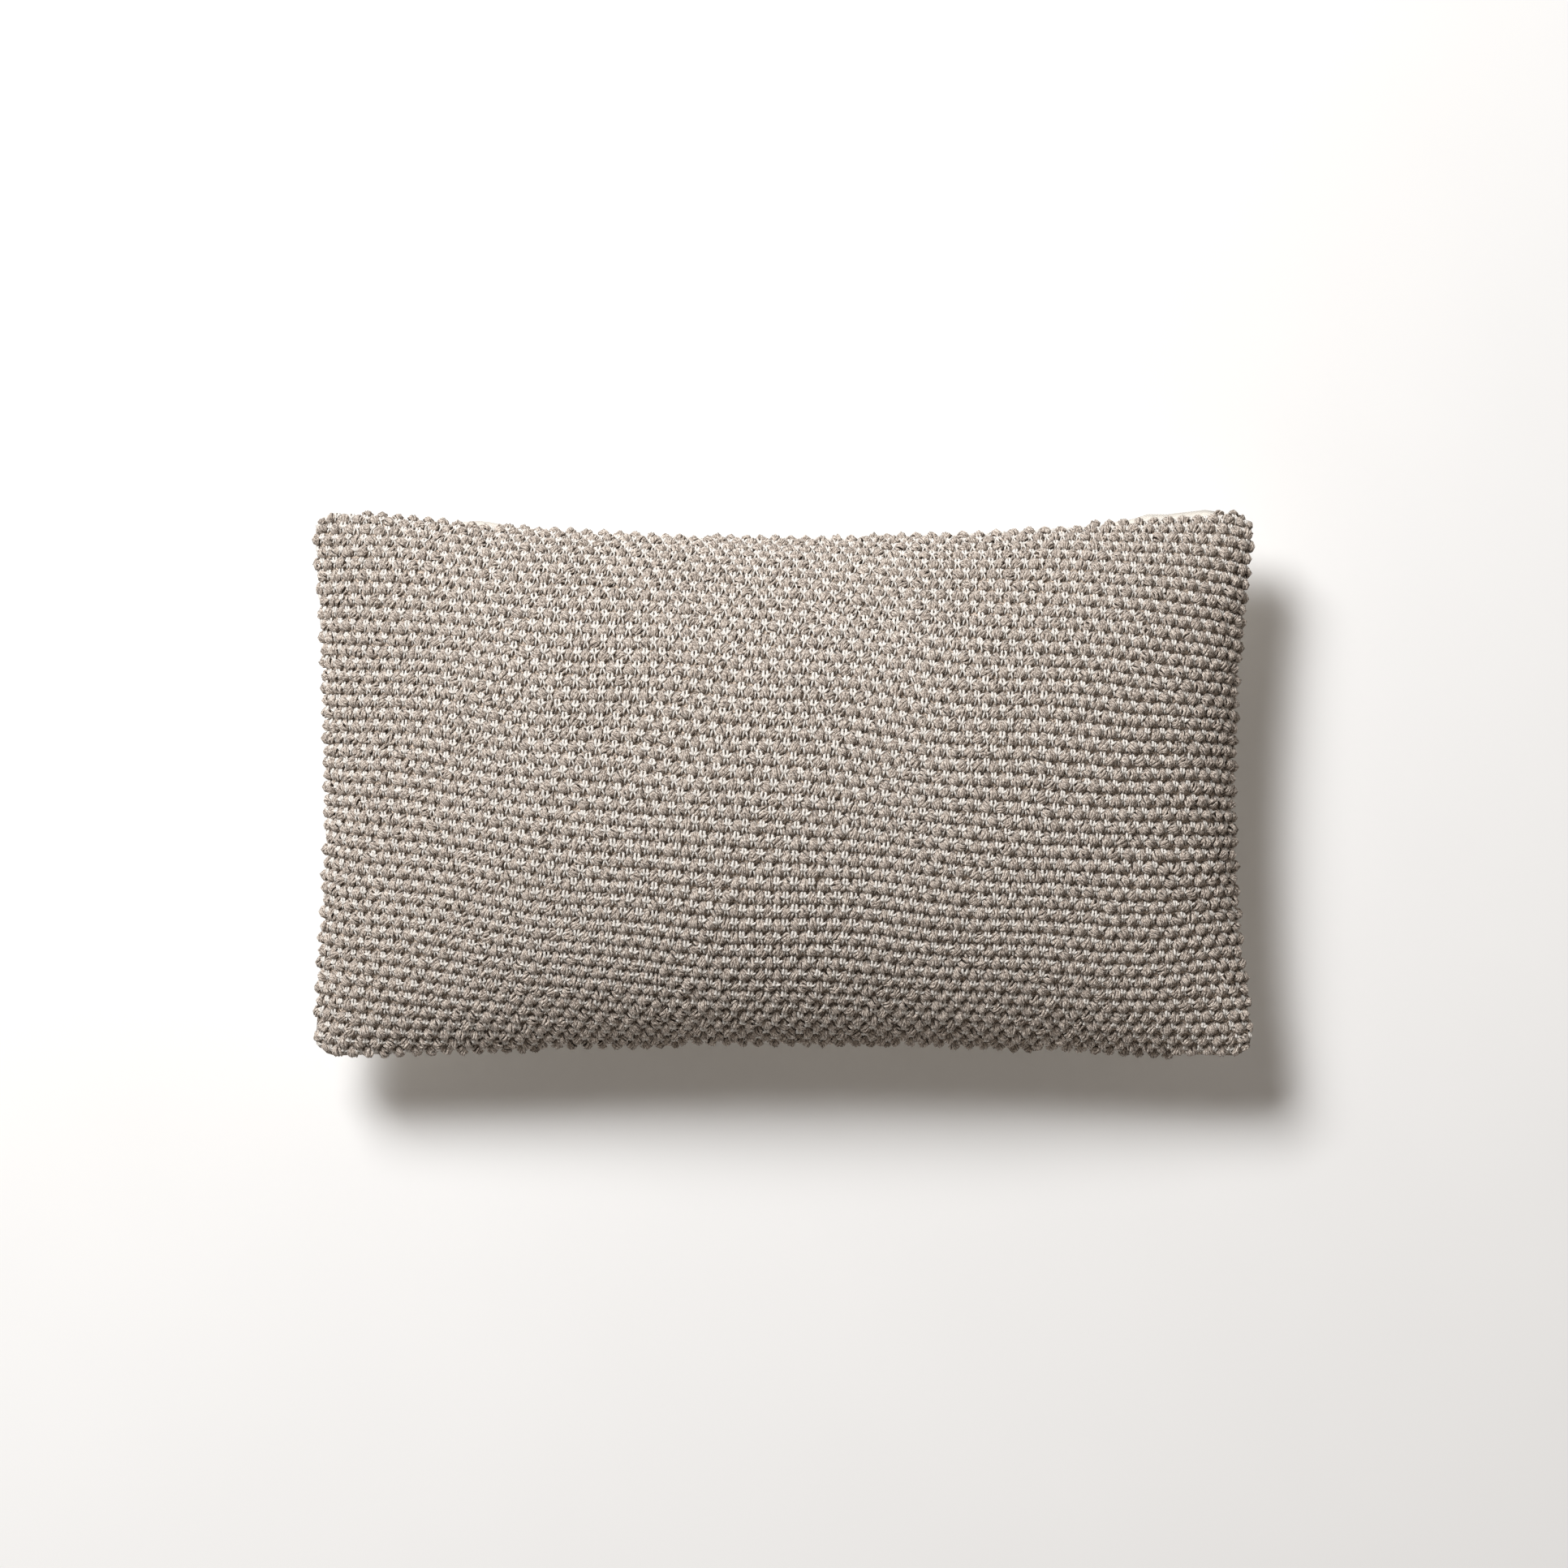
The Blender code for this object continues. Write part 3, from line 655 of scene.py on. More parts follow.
def fibre_finish(trim):
    """Matted filling fibre."""
    finish = Finish("filling_fibre", 1.0, **{"Sheen Weight": 0.5, "Sheen Roughness": 0.4})
    x, y, z = finish.parts(finish.place())
    strands = finish.noise(finish.vector(x * 60 + z * 200, y * 400, z * 90), 1.0, 5.0, 0.7)
    clumps = finish.noise(finish.place(), 45.0, 4.0, 0.6)
    tone = strands * 0.5 + clumps * 0.5
    stops = [(0.3, shaded(trim.fibre, 0.72)), (0.6, trim.fibre[:3])]
    return finish.coat(finish.ramp(tone, stops), strands + clumps, 0.004, 0.9)


def tape_finish(trim):
    """Herringbone zip tape, on a map in metres across and along."""
    finish = Finish("zip_tape", 0.85, **{"Sheen Weight": 0.2})
    across, along, _ = finish.parts(finish.map("cut"))
    zigzag = (across * (1 / 0.0022)).maths("PINGPONG", 0.5) * 0.0022
    rib = ((along + zigzag) * (2 * math.pi / 0.0009)).maths("SINE") * 0.5 + 0.5
    fuzz = finish.noise(finish.place(), 900.0)
    tone = rib * 0.4 + fuzz * 0.6
    stops = [(0.25, shaded(trim.tape, 0.7)), (0.6, trim.tape[:3]), (0.8, shaded(trim.tape, 1.12))]
    return finish.coat(finish.ramp(tone, stops), rib, 0.0002, 0.8)


def hard_finish(name, colour, roughness, wear):
    """Moulded nylon or enamelled metal, rubbed to a wear tone here and there."""
    finish = Finish(name, roughness, **{"IOR": 1.5, "Coat Weight": 0.25, "Coat Roughness": 0.2})
    rubbed = finish.noise(finish.place(), 1500.0, 5.0, 0.65)
    fine = finish.noise(finish.place(), 5200.0)
    stops = [(0.56, colour[:3]), (0.80, wear)]
    tone = finish.ramp(rubbed, stops)
    return finish.coat(tone, fine, 0.00005, 0.3, rubbed * 0.35 + (roughness - 0.17))


def satin_finish(trim):
    """Blank satin ribbon."""
    finish = Finish("label_satin", 0.4, **{"Sheen Weight": 0.4, "Anisotropic": 0.5})
    across, along, _ = finish.parts(finish.map("cut"))
    ribs = (along * (2 * math.pi / 0.00035)).maths("SINE") * 0.5 + 0.5
    slub = finish.noise(finish.vector(across * 60, along * 2600), 1.0)
    tone = ribs * 0.25 + slub * 0.75
    stops = [(0.3, shaded(trim.satin, 0.86)), (0.7, trim.satin[:3])]
    return finish.coat(finish.ramp(tone, stops), ribs, 0.00008, 0.6)


def floor_finish(stage):
    """Plain pale floor."""
    finish = Finish("floor_paint", 0.7)
    mottle = finish.noise(finish.place(), 6.0, 3.0)
    stops = [(0.3, shaded(stage.floor, 0.985)), (0.7, stage.floor[:3])]
    return finish.coat(finish.ramp(mottle, stops))


# ---------------------------------------------------------------- making meshes


def new_piece(name, points, faces, maps=None):
    """An object from arrays of points and quads, with UV maps as {name: [corner, 2]}."""
    mesh = bpy.data.meshes.new(name)
    mesh.vertices.add(len(points))
    mesh.vertices.foreach_set("co", np.asarray(points, dtype=np.float32).ravel())
    mesh.loops.add(faces.size)
    mesh.loops.foreach_set("vertex_index", faces.astype(np.int32).ravel())
    mesh.polygons.add(len(faces))
    mesh.polygons.foreach_set("loop_start", np.arange(len(faces), dtype=np.int32) * faces.shape[1])
    for map_name, corners in (maps or {}).items():
        layer = mesh.uv_layers.new(name=map_name)
        layer.data.foreach_set("uv", np.asarray(corners, dtype=np.float32).ravel())
    mesh.update(calc_edges=True)
    mesh.validate()
    mesh.shade_smooth()
    obj = bpy.data.objects.new(name, mesh)
    bpy.context.scene.collection.objects.link(obj)
    return obj


def finished(obj, material, body="pillow", replaces=()):
    """Gives a piece its material and body, and hides what it stands for."""
    obj.data.materials.clear()
    obj.data.materials.append(material)
    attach(obj, body)
    if replaces:
        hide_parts(*replaces)
    return obj


def select_only(obj):
    """Makes one object the only one selected, and active."""
    bpy.ops.object.select_all(action="DESELECT")
    obj.select_set(True)
    bpy.context.view_layer.objects.active = obj


def applied(obj):
    """Applies all of an object's modifiers."""
    select_only(obj)
    for modifier in list(obj.modifiers):
        bpy.ops.object.modifier_apply(modifier=modifier.name)
    return obj


def thickened(obj, thickness, offset):
    """Gives an open piece of cloth its thickness."""
    shell = obj.modifiers.new("Thickness", "SOLIDIFY")
    shell.thickness = thickness
    shell.offset = offset
    return applied(obj)


def numbered(ny, nx):
    """Point numbers of a grid of ny by nx faces, as [row, column]."""
    return np.arange((ny + 1) * (nx + 1)).reshape(ny + 1, nx + 1)


def quads_of(numbers, side=1):
    """Faces between numbered points, turned over on the back, as [face, 4]."""
    corners = [numbers[:-1, :-1], numbers[:-1, 1:], numbers[1:, 1:], numbers[1:, :-1]]
    quads = np.stack(corners, -1).reshape(-1, 4)
    return quads if side > 0 else quads[:, ::-1]


def rim_numbers(ny, nx):
    """Point numbers round a grid's rim, anticlockwise from its first corner."""
    numbers = numbered(ny, nx)
    bottom, right = numbers[0, :-1], numbers[:-1, -1]
    top, left = numbers[-1, :0:-1], numbers[:0:-1, 0]
    return np.concatenate([bottom, right, top, left])


def turned_in(points, inward, cover, side, depth, parted, closed):
    """One ring of the turned-in cloth, depth inside the rim, as points."""
    ring = points + inward * depth
    along_zip = opened(points[:, 0], cover) * (points[:, 1] < 0) * inward[:, 1].clip(0, 1)
    height = closed + (parted - closed) * along_zip
    ring[:, 2] = SEAM_Z + side * height
    return ring


# Where the back swells past the top seam: its place along the edge, its spread and its reach.
SWELLS = ((0.236, 0.043, 0.0078), (-0.180, 0.026, 0.0068))


def swollen(points):
    """A back grid whose cloth stands out past the seam here and there along the top edge."""
    points = points.copy()
    away = np.arange(len(points))[::-1, None]
    columns = np.arange(points.shape[1])
    profile = np.where(away > 0, np.exp(-((away - 1.0) / 0.9) ** 2), 0)
    profile = profile * (1 - np.exp(-(np.minimum(columns, columns[::-1]) / 2.5) ** 2))
    for place, spread, reach in SWELLS:
        points[..., 1] += reach * profile * np.exp(-(((points[..., 0] - place) / spread) ** 4))
    return points


def cloth_panel(name, side, points, cover, thickness, allowance, zipped=True):
    """A panel's cloth: its outer surface, the folded rim and the turned-in allowance."""
    ny, nx = span(points)
    rim = rim_numbers(ny, nx)
    rim_points = points.reshape(-1, 3)[rim]
    u, v = (share.ravel()[rim] for share in shares(points))
    inward = [np.where(np.abs(share) > 0.9999, -share, 0) for share in (u, v)]
    inward = np.stack([*inward, 0 * u], -1)
    closed = cover.seam_gap
    fold = cover.zip_fold if zipped else closed
    lip = cover.zip_lip if zipped else closed
    rings = [
        turned_in(rim_points, inward, cover, side, depth, parted, closed * 0.7)
        for depth, parted in ((0.0012, (2 * lip + fold) / 3), (0.0028, fold), (allowance, fold))
    ]
    faces = [quads_of(numbered(ny, nx), side)]
    flat_x = np.linspace(-0.5, 0.5, nx + 1) * cover.cut_length
    flat_y = np.linspace(-0.5, 0.5, ny + 1) * cover.cut_width
    flat = np.stack(np.meshgrid(flat_x, flat_y), -1).reshape(-1, 2)
    places = [flat]
    all_points = [points.reshape(-1, 3)]
    count = len(rim)
    last, start = rim, len(flat)
    for step, ring in enumerate(rings):
        now = start + np.arange(count)
        quads = np.stack([np.roll(last, -1), last, now, np.roll(now, -1)], -1)
        faces.append(quads if side > 0 else quads[:, ::-1])
        all_points.append(ring)
        places.append(flat[rim] - inward[:, :2] * 0.003 * (step + 1))
        last, start = now, start + count
    faces = np.concatenate(faces)
    places = np.concatenate(places)
    maps = {"cut": places[faces].reshape(-1, 2)}
    piece = new_piece(name, np.concatenate(all_points), faces, maps)
    return thickened(piece, thickness, -1)


# ---------------------------------------------------------------- yarns


TUBE_SIDES = 4
TUBE_TIP = 0.62  # how far a tube narrows at its ends
BAKE_MARGIN = 0.06  # room round a tube's cell on the bake map


def tubes(centres, radius, offsets=None):
    """Closed tubes round centre lines [tube, step, xyz].

    Gives their points [tube, step, side, xyz], quads, and "yarn" and "OFBake" maps.
    """
    count, steps = centres.shape[:2]
    forward = np.gradient(centres, axis=1)
    forward /= np.linalg.norm(forward, axis=-1, keepdims=True)
    aside = np.cross(forward, (0.0, 0.0, 1.0))
    size = np.linalg.norm(aside, axis=-1, keepdims=True)
    aside = np.where(size > 0.02, aside / np.maximum(size, TINY), (1.0, 0.0, 0.0))
    above = np.cross(aside, forward)
    angle = -np.pi / 2 - np.arange(TUBE_SIDES) * (2 * np.pi / TUBE_SIDES)
    width = np.full(steps, 1.0)
    width[[0, -1]] = TUBE_TIP
    reach = np.broadcast_to(radius, (count, steps)) * width
    ring = np.cos(angle)[:, None] * aside[:, :, None] + np.sin(angle)[:, None] * above[:, :, None]
    points = centres[:, :, None] + ring * reach[:, :, None, None]

    number_of = np.arange(steps * TUBE_SIDES).reshape(steps, TUBE_SIDES)
    following = np.roll(number_of, -1, axis=1)
    wall = np.stack([number_of[:-1], following[:-1], following[1:], number_of[1:]], -1)
    wall = wall.reshape(-1, 4)
    caps = np.stack([number_of[0][::-1], number_of[-1]])
    one = np.concatenate([wall, caps])
    faces = (one[None] + (np.arange(count) * number_of.size)[:, None, None]).reshape(-1, 4)

    run = np.linalg.norm(np.diff(centres, axis=1), axis=-1)
    walked = np.concatenate([np.zeros((count, 1)), np.cumsum(run, axis=1)], axis=1)
    corners = one.reshape(-1)
    wraps = np.concatenate([np.tile([0, 1, 1, 0], len(wall)), np.zeros(caps.size)])
    side_of = np.concatenate([wall[:, [0, 0, 0, 0]].reshape(-1), caps.reshape(-1)]) % TUBE_SIDES
    around = (side_of + wraps) / TUBE_SIDES
    step_of = corners // TUBE_SIDES
    along = walked[:, step_of]
    if offsets is not None:
        along = along + offsets[:, None]
    yarn = np.stack([np.broadcast_to(around, along.shape), along], -1)

    columns = math.ceil(math.sqrt(count))
    cell = np.stack(np.divmod(np.arange(count), columns)[::-1], -1)
    inside = BAKE_MARGIN + (1 - 2 * BAKE_MARGIN) * np.stack([around, step_of / (steps - 1)], -1)
    cap_cell = np.tile([[0, 0], [1, 0], [1, 1], [0, 1]], (len(caps), 1))
    inside[-caps.size:] = BAKE_MARGIN + 0.05 * cap_cell
    bake = (cell[:, None] + inside[None]) / columns
    return points, faces, {"OFBake": bake.reshape(-1, 2), "yarn": yarn.reshape(-1, 2)}


def drift(places, knit):
    """How far the hand of the knit wanders from its even grid, as [..., xy]."""
    rng = np.random.default_rng(7)
    total = np.zeros_like(places)
    for _ in range(9):
        direction = rng.uniform(0, 2 * np.pi)
        wave = 2 * np.pi / rng.uniform(0.09, 0.24)
        phase = places @ np.array([math.cos(direction), math.sin(direction)]) * wave
        total += np.sin(phase + rng.uniform(0, 2 * np.pi))[..., None] * rng.normal(0, knit.drift, 2)
    return total


def lattice(cover, knit):
    """Flat places of the bobbles, in brick order, well past the cut's edges."""
    skew, lean = math.radians(knit.row_skew), math.radians(knit.column_lean)
    rightwards = np.array([math.cos(skew), -math.sin(skew)]) * knit.pitch
    upwards = np.array([math.sin(lean), math.cos(lean)]) * knit.row
    reach = round(0.8 * cover.cut_length / knit.pitch)
    i, j = np.meshgrid(np.arange(-reach, reach + 1), np.arange(-reach, reach + 1))
    shift = 0.5 * (j % 2)
    places = ((i + shift)[..., None] * rightwards + j[..., None] * upwards).reshape(-1, 2)
    return places + drift(places, knit)


def lattice_step(knit):
    """From one bobble to the next in its row, on the flat cut."""
    skew = math.radians(knit.row_skew)
    return np.array([math.cos(skew), -math.sin(skew)]) * knit.pitch


def within(places, cover, margin):
    """The places that lie inside the flat cut by a margin."""
    half = np.array([cover.cut_length, cover.cut_width]) / 2 - margin
    return places[(np.abs(places) < half).all(axis=1)]


BOBBLE_STRANDS = 6
BOBBLE_STEPS = 5  # points along each strand
BOBBLE_TURN = 62  # the most degrees by which a bobble lies turned
BOBBLE_PINCH = 0.42  # how far its strands draw together at its ends
BOBBLE_SINK = 0.0006  # how far its ends go below the cloth
TANGLE = 0.00036  # how far its strands wander sideways


def bobble_strands(centres, knit, rng):
    """Centre lines of each bobble's strands, as flat places [strand, step, xy] and heights."""
    count, strands, steps = len(centres), BOBBLE_STRANDS, BOBBLE_STEPS
    t = np.sin(np.linspace(-np.pi / 2, np.pi / 2, steps))[None, None]
    o = np.linspace(-0.95, 0.95, strands)[None, :, None] + rng.normal(0, 0.06, (count, strands, 1))
    rise = knit.bobble_rise * rng.normal(1, 0.06, (count, 1, 1))
    half_width = (knit.bobble_width / 2 - knit.strand) * rng.normal(1, 0.05, (count, 1, 1))
    half_length = (knit.bobble_length / 2 - knit.strand * 0.5) * rng.normal(1, 0.04, (count, 1, 1))
    across = o * half_width * (1 - BOBBLE_PINCH * t**2)
    across = across + rng.normal(0, TANGLE, (count, strands, steps))
    along = t * half_length * np.sqrt(1 - 0.35 * o**2)
    along = along + rng.normal(0, 0.00012, (count, strands, steps))
    dome = np.sqrt(np.clip(1 - 0.97 * t**2, 0, 1)) * np.sqrt(np.clip(1 - 0.62 * o**2, 0, 1))
    height = rise * dome + rng.normal(0, 0.00022, (count, strands, steps)) - BOBBLE_SINK
    turn = rng.uniform(-BOBBLE_TURN, BOBBLE_TURN, (count, 1, 1))
    turn = np.radians(turn + rng.normal(0, 11, (count, strands, 1)))
    a = across * np.cos(turn) - along * np.sin(turn)
    b = across * np.sin(turn) + along * np.cos(turn)
    neck = np.clip(b / half_length, 0, 1)  # its upper end is drawn out and narrowed
    b = b * (1 + 0.26 * neck)
    a = a * (1 - 0.20 * neck**2)
    height = height - 0.0006 * neck
    middle = centres[:, None, None] + rng.normal(0, 0.00022, (count, 1, 1, 2))
    lines = np.stack([middle[..., 0] + a, middle[..., 1] + b, height], -1)
    return lines.reshape(count * strands, steps, 3)


# Half of each cream stitch seen from above, as offsets from its place, and its height.
EAR = (
    (0.00015, -0.0009, 0.0020),
    (0.00060, 0.0005, 0.0027),
    (0.00118, 0.0020, 0.0029),
    (0.00105, 0.0034, 0.0026),
    (0.00040, 0.0048, 0.0016),
)
LEG = (
    (0.00045, -0.0002, 0.0022),
    (0.00095, -0.0014, 0.0022),
    (0.00135, -0.0027, 0.0017),
    (0.00160, -0.0040, 0.0009),
)
LONG_ARM = (
    (0.0002, -0.0003, 0.0022),
    (0.0011, 0.0005, 0.0028),
    (0.0021, 0.0012, 0.0032),
    (0.0029, 0.0018, 0.0032),
)
SHORT_ARM = (
    (-0.0002, -0.0003, 0.0022),
    (-0.0010, 0.0005, 0.0027),
    (-0.0017, 0.0011, 0.0031),
    (-0.0022, 0.0016, 0.0031),
)


def cream_shown(places):
    """How far the cream stitches stand out of the bobbles at flat places, from 0 to 1.

    They sink where the cloth runs down to its edges, and a little towards +X.
    """
    cover = bpy.context.scene.pillow_cover
    u, v = (2 * places / (cover.cut_length, cover.cut_width)).T
    edge = np.clip((np.maximum(np.abs(u), np.abs(v)) - 0.55) / 0.45, 0, 1)
    right = np.clip((u - 0.1) / 0.9, 0, 1)
    return np.clip(1 - 0.75 * edge - 0.45 * right, 0, 1)


def cream_strands(places, shape, rng, mirrored=True):
    """Centre lines of a strand at each place, and of its mirror image where it has one."""
    count = len(places)
    shape = np.array(shape)
    sway = rng.normal(0, 0.00022, (count, 1, 3)) * (1, 1, 0)
    shown = cream_shown(places)[:, None, None]
    stretch = rng.normal(1, 0.08, (count, 1, 1)) * (0.80 + 0.20 * shown)
    lines = []
    for side in SIDES if mirrored else (1,):
        wobble = rng.normal(0, 0.00013, (count, len(shape), 3))
        line = shape * (side, 1, 1) * stretch + wobble + sway
        line = line - (1 - shown) * (0, 0, 0.0011)
        line[..., :2] += places[:, None]
        lines.append(line)
    return np.concatenate(lines)


def lay_yarn(name, lines, radius, surface, material, rng, bands):
    """Lays strands on a surface as a few pieces, side by side along the pillow."""
    order = np.argsort(lines[:, :, 0].mean(axis=1), kind="stable")
    pieces = []
    for band, chosen in enumerate(np.array_split(order, bands)):
        centres = lines[chosen]
        sizes = radius * rng.normal(1, 0.07, (len(chosen), 1))
        points, faces, maps = tubes(centres, sizes, offsets=rng.uniform(0, 50, len(chosen)))
        placed = surface.at(points[..., :2], points[..., 2]).reshape(-1, 3)
        piece = new_piece(f"{name}_{band + 1}", placed, faces, maps)
        pieces.append(finished(piece, material))
    return pieces


# ---------------------------------------------------------------- insert, seams and label


def nested(outer, side, cover, inset, room, wall=None):
    """A panel's grid inside another's, drawn in by an inset and kept a room away from it."""
    reach = np.abs(outer[..., 2] - SEAM_Z).max() - room
    points = stuffed(side, cover, inset, reach)
    tree = BVHTree.FromPolygons(
        [Vector(point) for point in outer.reshape(-1, 3)], quads_of(numbered(*span(outer))).tolist()
    )
    start = SEAM_Z + side * 0.5
    for point in points.reshape(-1, 3):
        hit = tree.ray_cast(Vector((point[0], point[1], start)), Vector((0, 0, -side)))[0]
        if hit is not None:
            most = max(abs(hit.z - SEAM_Z) - room, cover.seam_gap)
            point[2] = SEAM_Z + side * min(abs(point[2] - SEAM_Z), most)
    away, _ = from_rim(points)
    points[..., 2] += side * (wall or cover.seam_gap) * np.exp(-away / 2)
    return points


def closed_pair(name, front, back):
    """A closed form of a front and a back grid, joined round their rims."""
    numbers = numbered(*span(front))
    size = numbers.size
    rim = rim_numbers(*span(front))
    wall = np.stack([np.roll(rim, -1), rim, rim + size, np.roll(rim, -1) + size], -1)
    faces = np.concatenate([quads_of(numbers), quads_of(numbers, -1) + size, wall])
    return new_piece(name, np.concatenate([front.reshape(-1, 3), back.reshape(-1, 3)]), faces)


SEWN_NODES = (
    "top_seam_thread",
    "left_seam_thread",
    "right_seam_thread",
    "bottom_left_seam_thread",
    "bottom_right_seam_thread",
    "insert_seam_thread",
    "front_zip_stitching",
    "back_zip_stitching",
)


# One overlocking stitch: how far inside the seam it runs, and its height over the seam plane.
LOOP = (
    (0.0072, 0.0029),
    (0.0098, 0.0029),
    (0.0112, 0.0012),
    (0.0112, -0.0010),
    (0.0098, -0.0022),
    (0.0072, -0.0022),
)


def overlock_path(cover, trim):
    """The looping thread over both raw edges, from one end of the zip round to the other."""
    start = trim.chain_length / 2 + 0.0104  # clear of the zip's stops
    half_x, half_y = COVER_HIGH[:2] + cover.corner_drop
    stops = ((start / half_x, -1), (1, -1), (1, 1), (-1, 1), (-1, -1), (-start / half_x, -1))
    places = []
    for (u0, v0), (u1, v1) in zip(stops, stops[1:]):
        run = math.hypot((u1 - u0) * half_x, (v1 - v0) * half_y)
        share = np.linspace(0, 1, round(run / trim.stitch) * len(LOOP), endpoint=False)
        places.append(np.stack([u0 + (u1 - u0) * share, v0 + (v1 - v0) * share], -1))
    u, v = np.concatenate(places).T
    inset, height = np.array(LOOP)[np.arange(len(u)) % len(LOOP)].T
    x, y = plan(u, v, cover, inset)
    return np.stack([x, y, SEAM_Z + height], -1)


def folded_label(cover):
    """A blank ribbon folded in two, standing along the left seam inside the cover."""
    low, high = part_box("care_label")
    y = np.linspace(low[1] + 0.0005, high[1] - 0.0005, 13)
    foot, fold = -0.0088, 0.0082  # heights of its sewn ends and its fold over the seam plane
    depth, inset = 0.0004, 0.0122  # half the gap between its leaves, and its place inside the seam
    turn = np.linspace(0, np.pi, 7)
    leaf = np.linspace(foot, fold, 10)
    bulge = depth * (0.5 + 0.5 * np.cos(np.linspace(np.pi, 0, len(leaf))))
    z = np.concatenate([leaf, fold + depth * np.sin(turn)[1:-1], leaf[::-1]])
    across = np.concatenate([bulge, depth * np.cos(turn)[1:-1], -bulge[::-1]])
    x, _ = plan(-np.ones_like(y), y / (COVER_HIGH[1] + cover.corner_drop), cover, inset)
    sway = 0.0006 * np.sin(np.linspace(0, 5, len(y)))[:, None] * np.clip((z - foot) / 0.018, 0, 1)
    x = x[:, None] + across[None] + sway
    points = np.stack(np.broadcast_arrays(x, y[:, None], SEAM_Z + z[None]), -1)
    faces = quads_of(numbered(len(y) - 1, len(z) - 1))
    walked = np.concatenate([[0], np.cumsum(np.hypot(np.diff(z), np.diff(across)))])
    flat = np.stack(np.meshgrid(walked, y), -1).reshape(-1, 2)
    maps = {"cut": flat[faces].reshape(-1, 2)}
    label = new_piece("folded_label", points.reshape(-1, 3), faces, maps)
    return thickened(label, 0.00022, 0)


# ---------------------------------------------------------------- zip


def zip_tape(name, side, half):
    """One tape: a web beside the coil, turned in along the cover's allowance."""
    level = 0.00385  # the tape's height over the seam plane past its coil
    profile = [(0.0051, 0.0026), (0.0051, 0.0033), (0.0052, 0.00375), (0.0056, level)]
    profile += [(inset, level) for inset in np.linspace(0.0066, 0.0158, 8)]
    profile = [(inset, side * height) for inset, height in profile]
    piece = strip(name, profile, np.linspace(-half, half, 105))
    return thickened(piece, 0.00045, 0)


def zip_coil(name, side, half, pitch):
    """One coil of nylon, its flattened turns running along the tape's edge."""
    turns, steps = int(2 * half / pitch), 8
    angle = np.arange(turns * steps + 1) * (2 * np.pi / steps)
    along = -half + np.arange(len(angle)) / len(angle) * 2 * half
    wire = 0.00033  # its radius, inside a flat coil 2.2 by 1.56 mm
    inset = 0.0051 + (0.0011 - wire) * np.cos(angle)
    height = side * (0.00145 + (0.00078 - wire) * np.sin(angle))
    centres = on_arc(along, inset, height)[None]
    points, faces, maps = tubes(centres, wire)
    return new_piece(name, points.reshape(-1, 3), faces, {**maps, "OFBake": coil_map(maps)})


def coil_map(maps):
    """A bake map of a long wire, cut into rows."""
    around, along = maps["yarn"].T
    share = along / along.max() * 0.999
    rows = 48
    row = np.floor(share * rows)
    return np.stack([share * rows - row, (row + 0.1 + 0.8 * np.clip(around, 0, 1)) / rows], -1)


def zip_stop(name, low, high):
    """A clip squeezed over the coil's end, between two heights."""
    clip = new_box(name, (-0.001, 0.0040, min(low, high)), (0.001, 0.0062, max(low, high)))
    bpy.ops.object.mode_set(mode="EDIT")
    pick(clip, "FACE", lambda middle, normal: abs(normal.y) > 0.9)
    bpy.ops.mesh.inset(thickness=0.0003, depth=-0.00012)
    bpy.ops.object.mode_set(mode="OBJECT")
    return rounded(clip, 0.00018)


def narrowed(obj, bands):
    """Narrows an object in edit mode, in bands along X given as (near, far, share)."""
    for near, far, share in bands:
        pick(obj, "VERT", lambda place: near < place.x < far)
        bpy.ops.transform.resize(value=(1, 1, share))


def plate(name, outer, inner, half, wide):
    """A slider's plate: round-cornered, and drawn in to a nose where the coils leave it closed."""
    piece = new_box(name, (-half, outer, -wide), (half, inner, wide))
    bpy.ops.object.mode_set(mode="EDIT")
    pick(piece, "EDGE", lambda middle, run: abs(run.x) > half)
    bpy.ops.mesh.subdivide(number_cuts=5)
    nose = ((-2.0, -0.9, 0.68), (-0.9, -0.5, 0.80), (-0.5, -0.1, 0.94), (0.9, 2.0, 0.86))
    narrowed(piece, [(near * half, far * half, share) for near, far, share in nose])
    through = 0.9 * (inner - outer)
    pick(piece, "EDGE", lambda middle, run: abs(run.y) > through and abs(middle.x) > 0.9 * half)
    bpy.ops.mesh.bevel(offset=0.0009, segments=4)
    pick(piece, "FACE", lambda middle, normal: abs(normal.y) > 0.9 and abs(middle.x) < 0.2 * half)
    bpy.ops.mesh.inset(thickness=0.0006, depth=-0.0001)
    bpy.ops.object.mode_set(mode="OBJECT")
    return rounded(piece, 0.00018)


OUTER_PLATE = (0.0027, 0.0035)  # insets of the slider's outer plate, outside and inside
INNER_PLATE = (0.0067, 0.0075)
LIPS = ((0.0034, 0.0043), (0.0059, 0.0068))  # insets between which the plates' lips reach


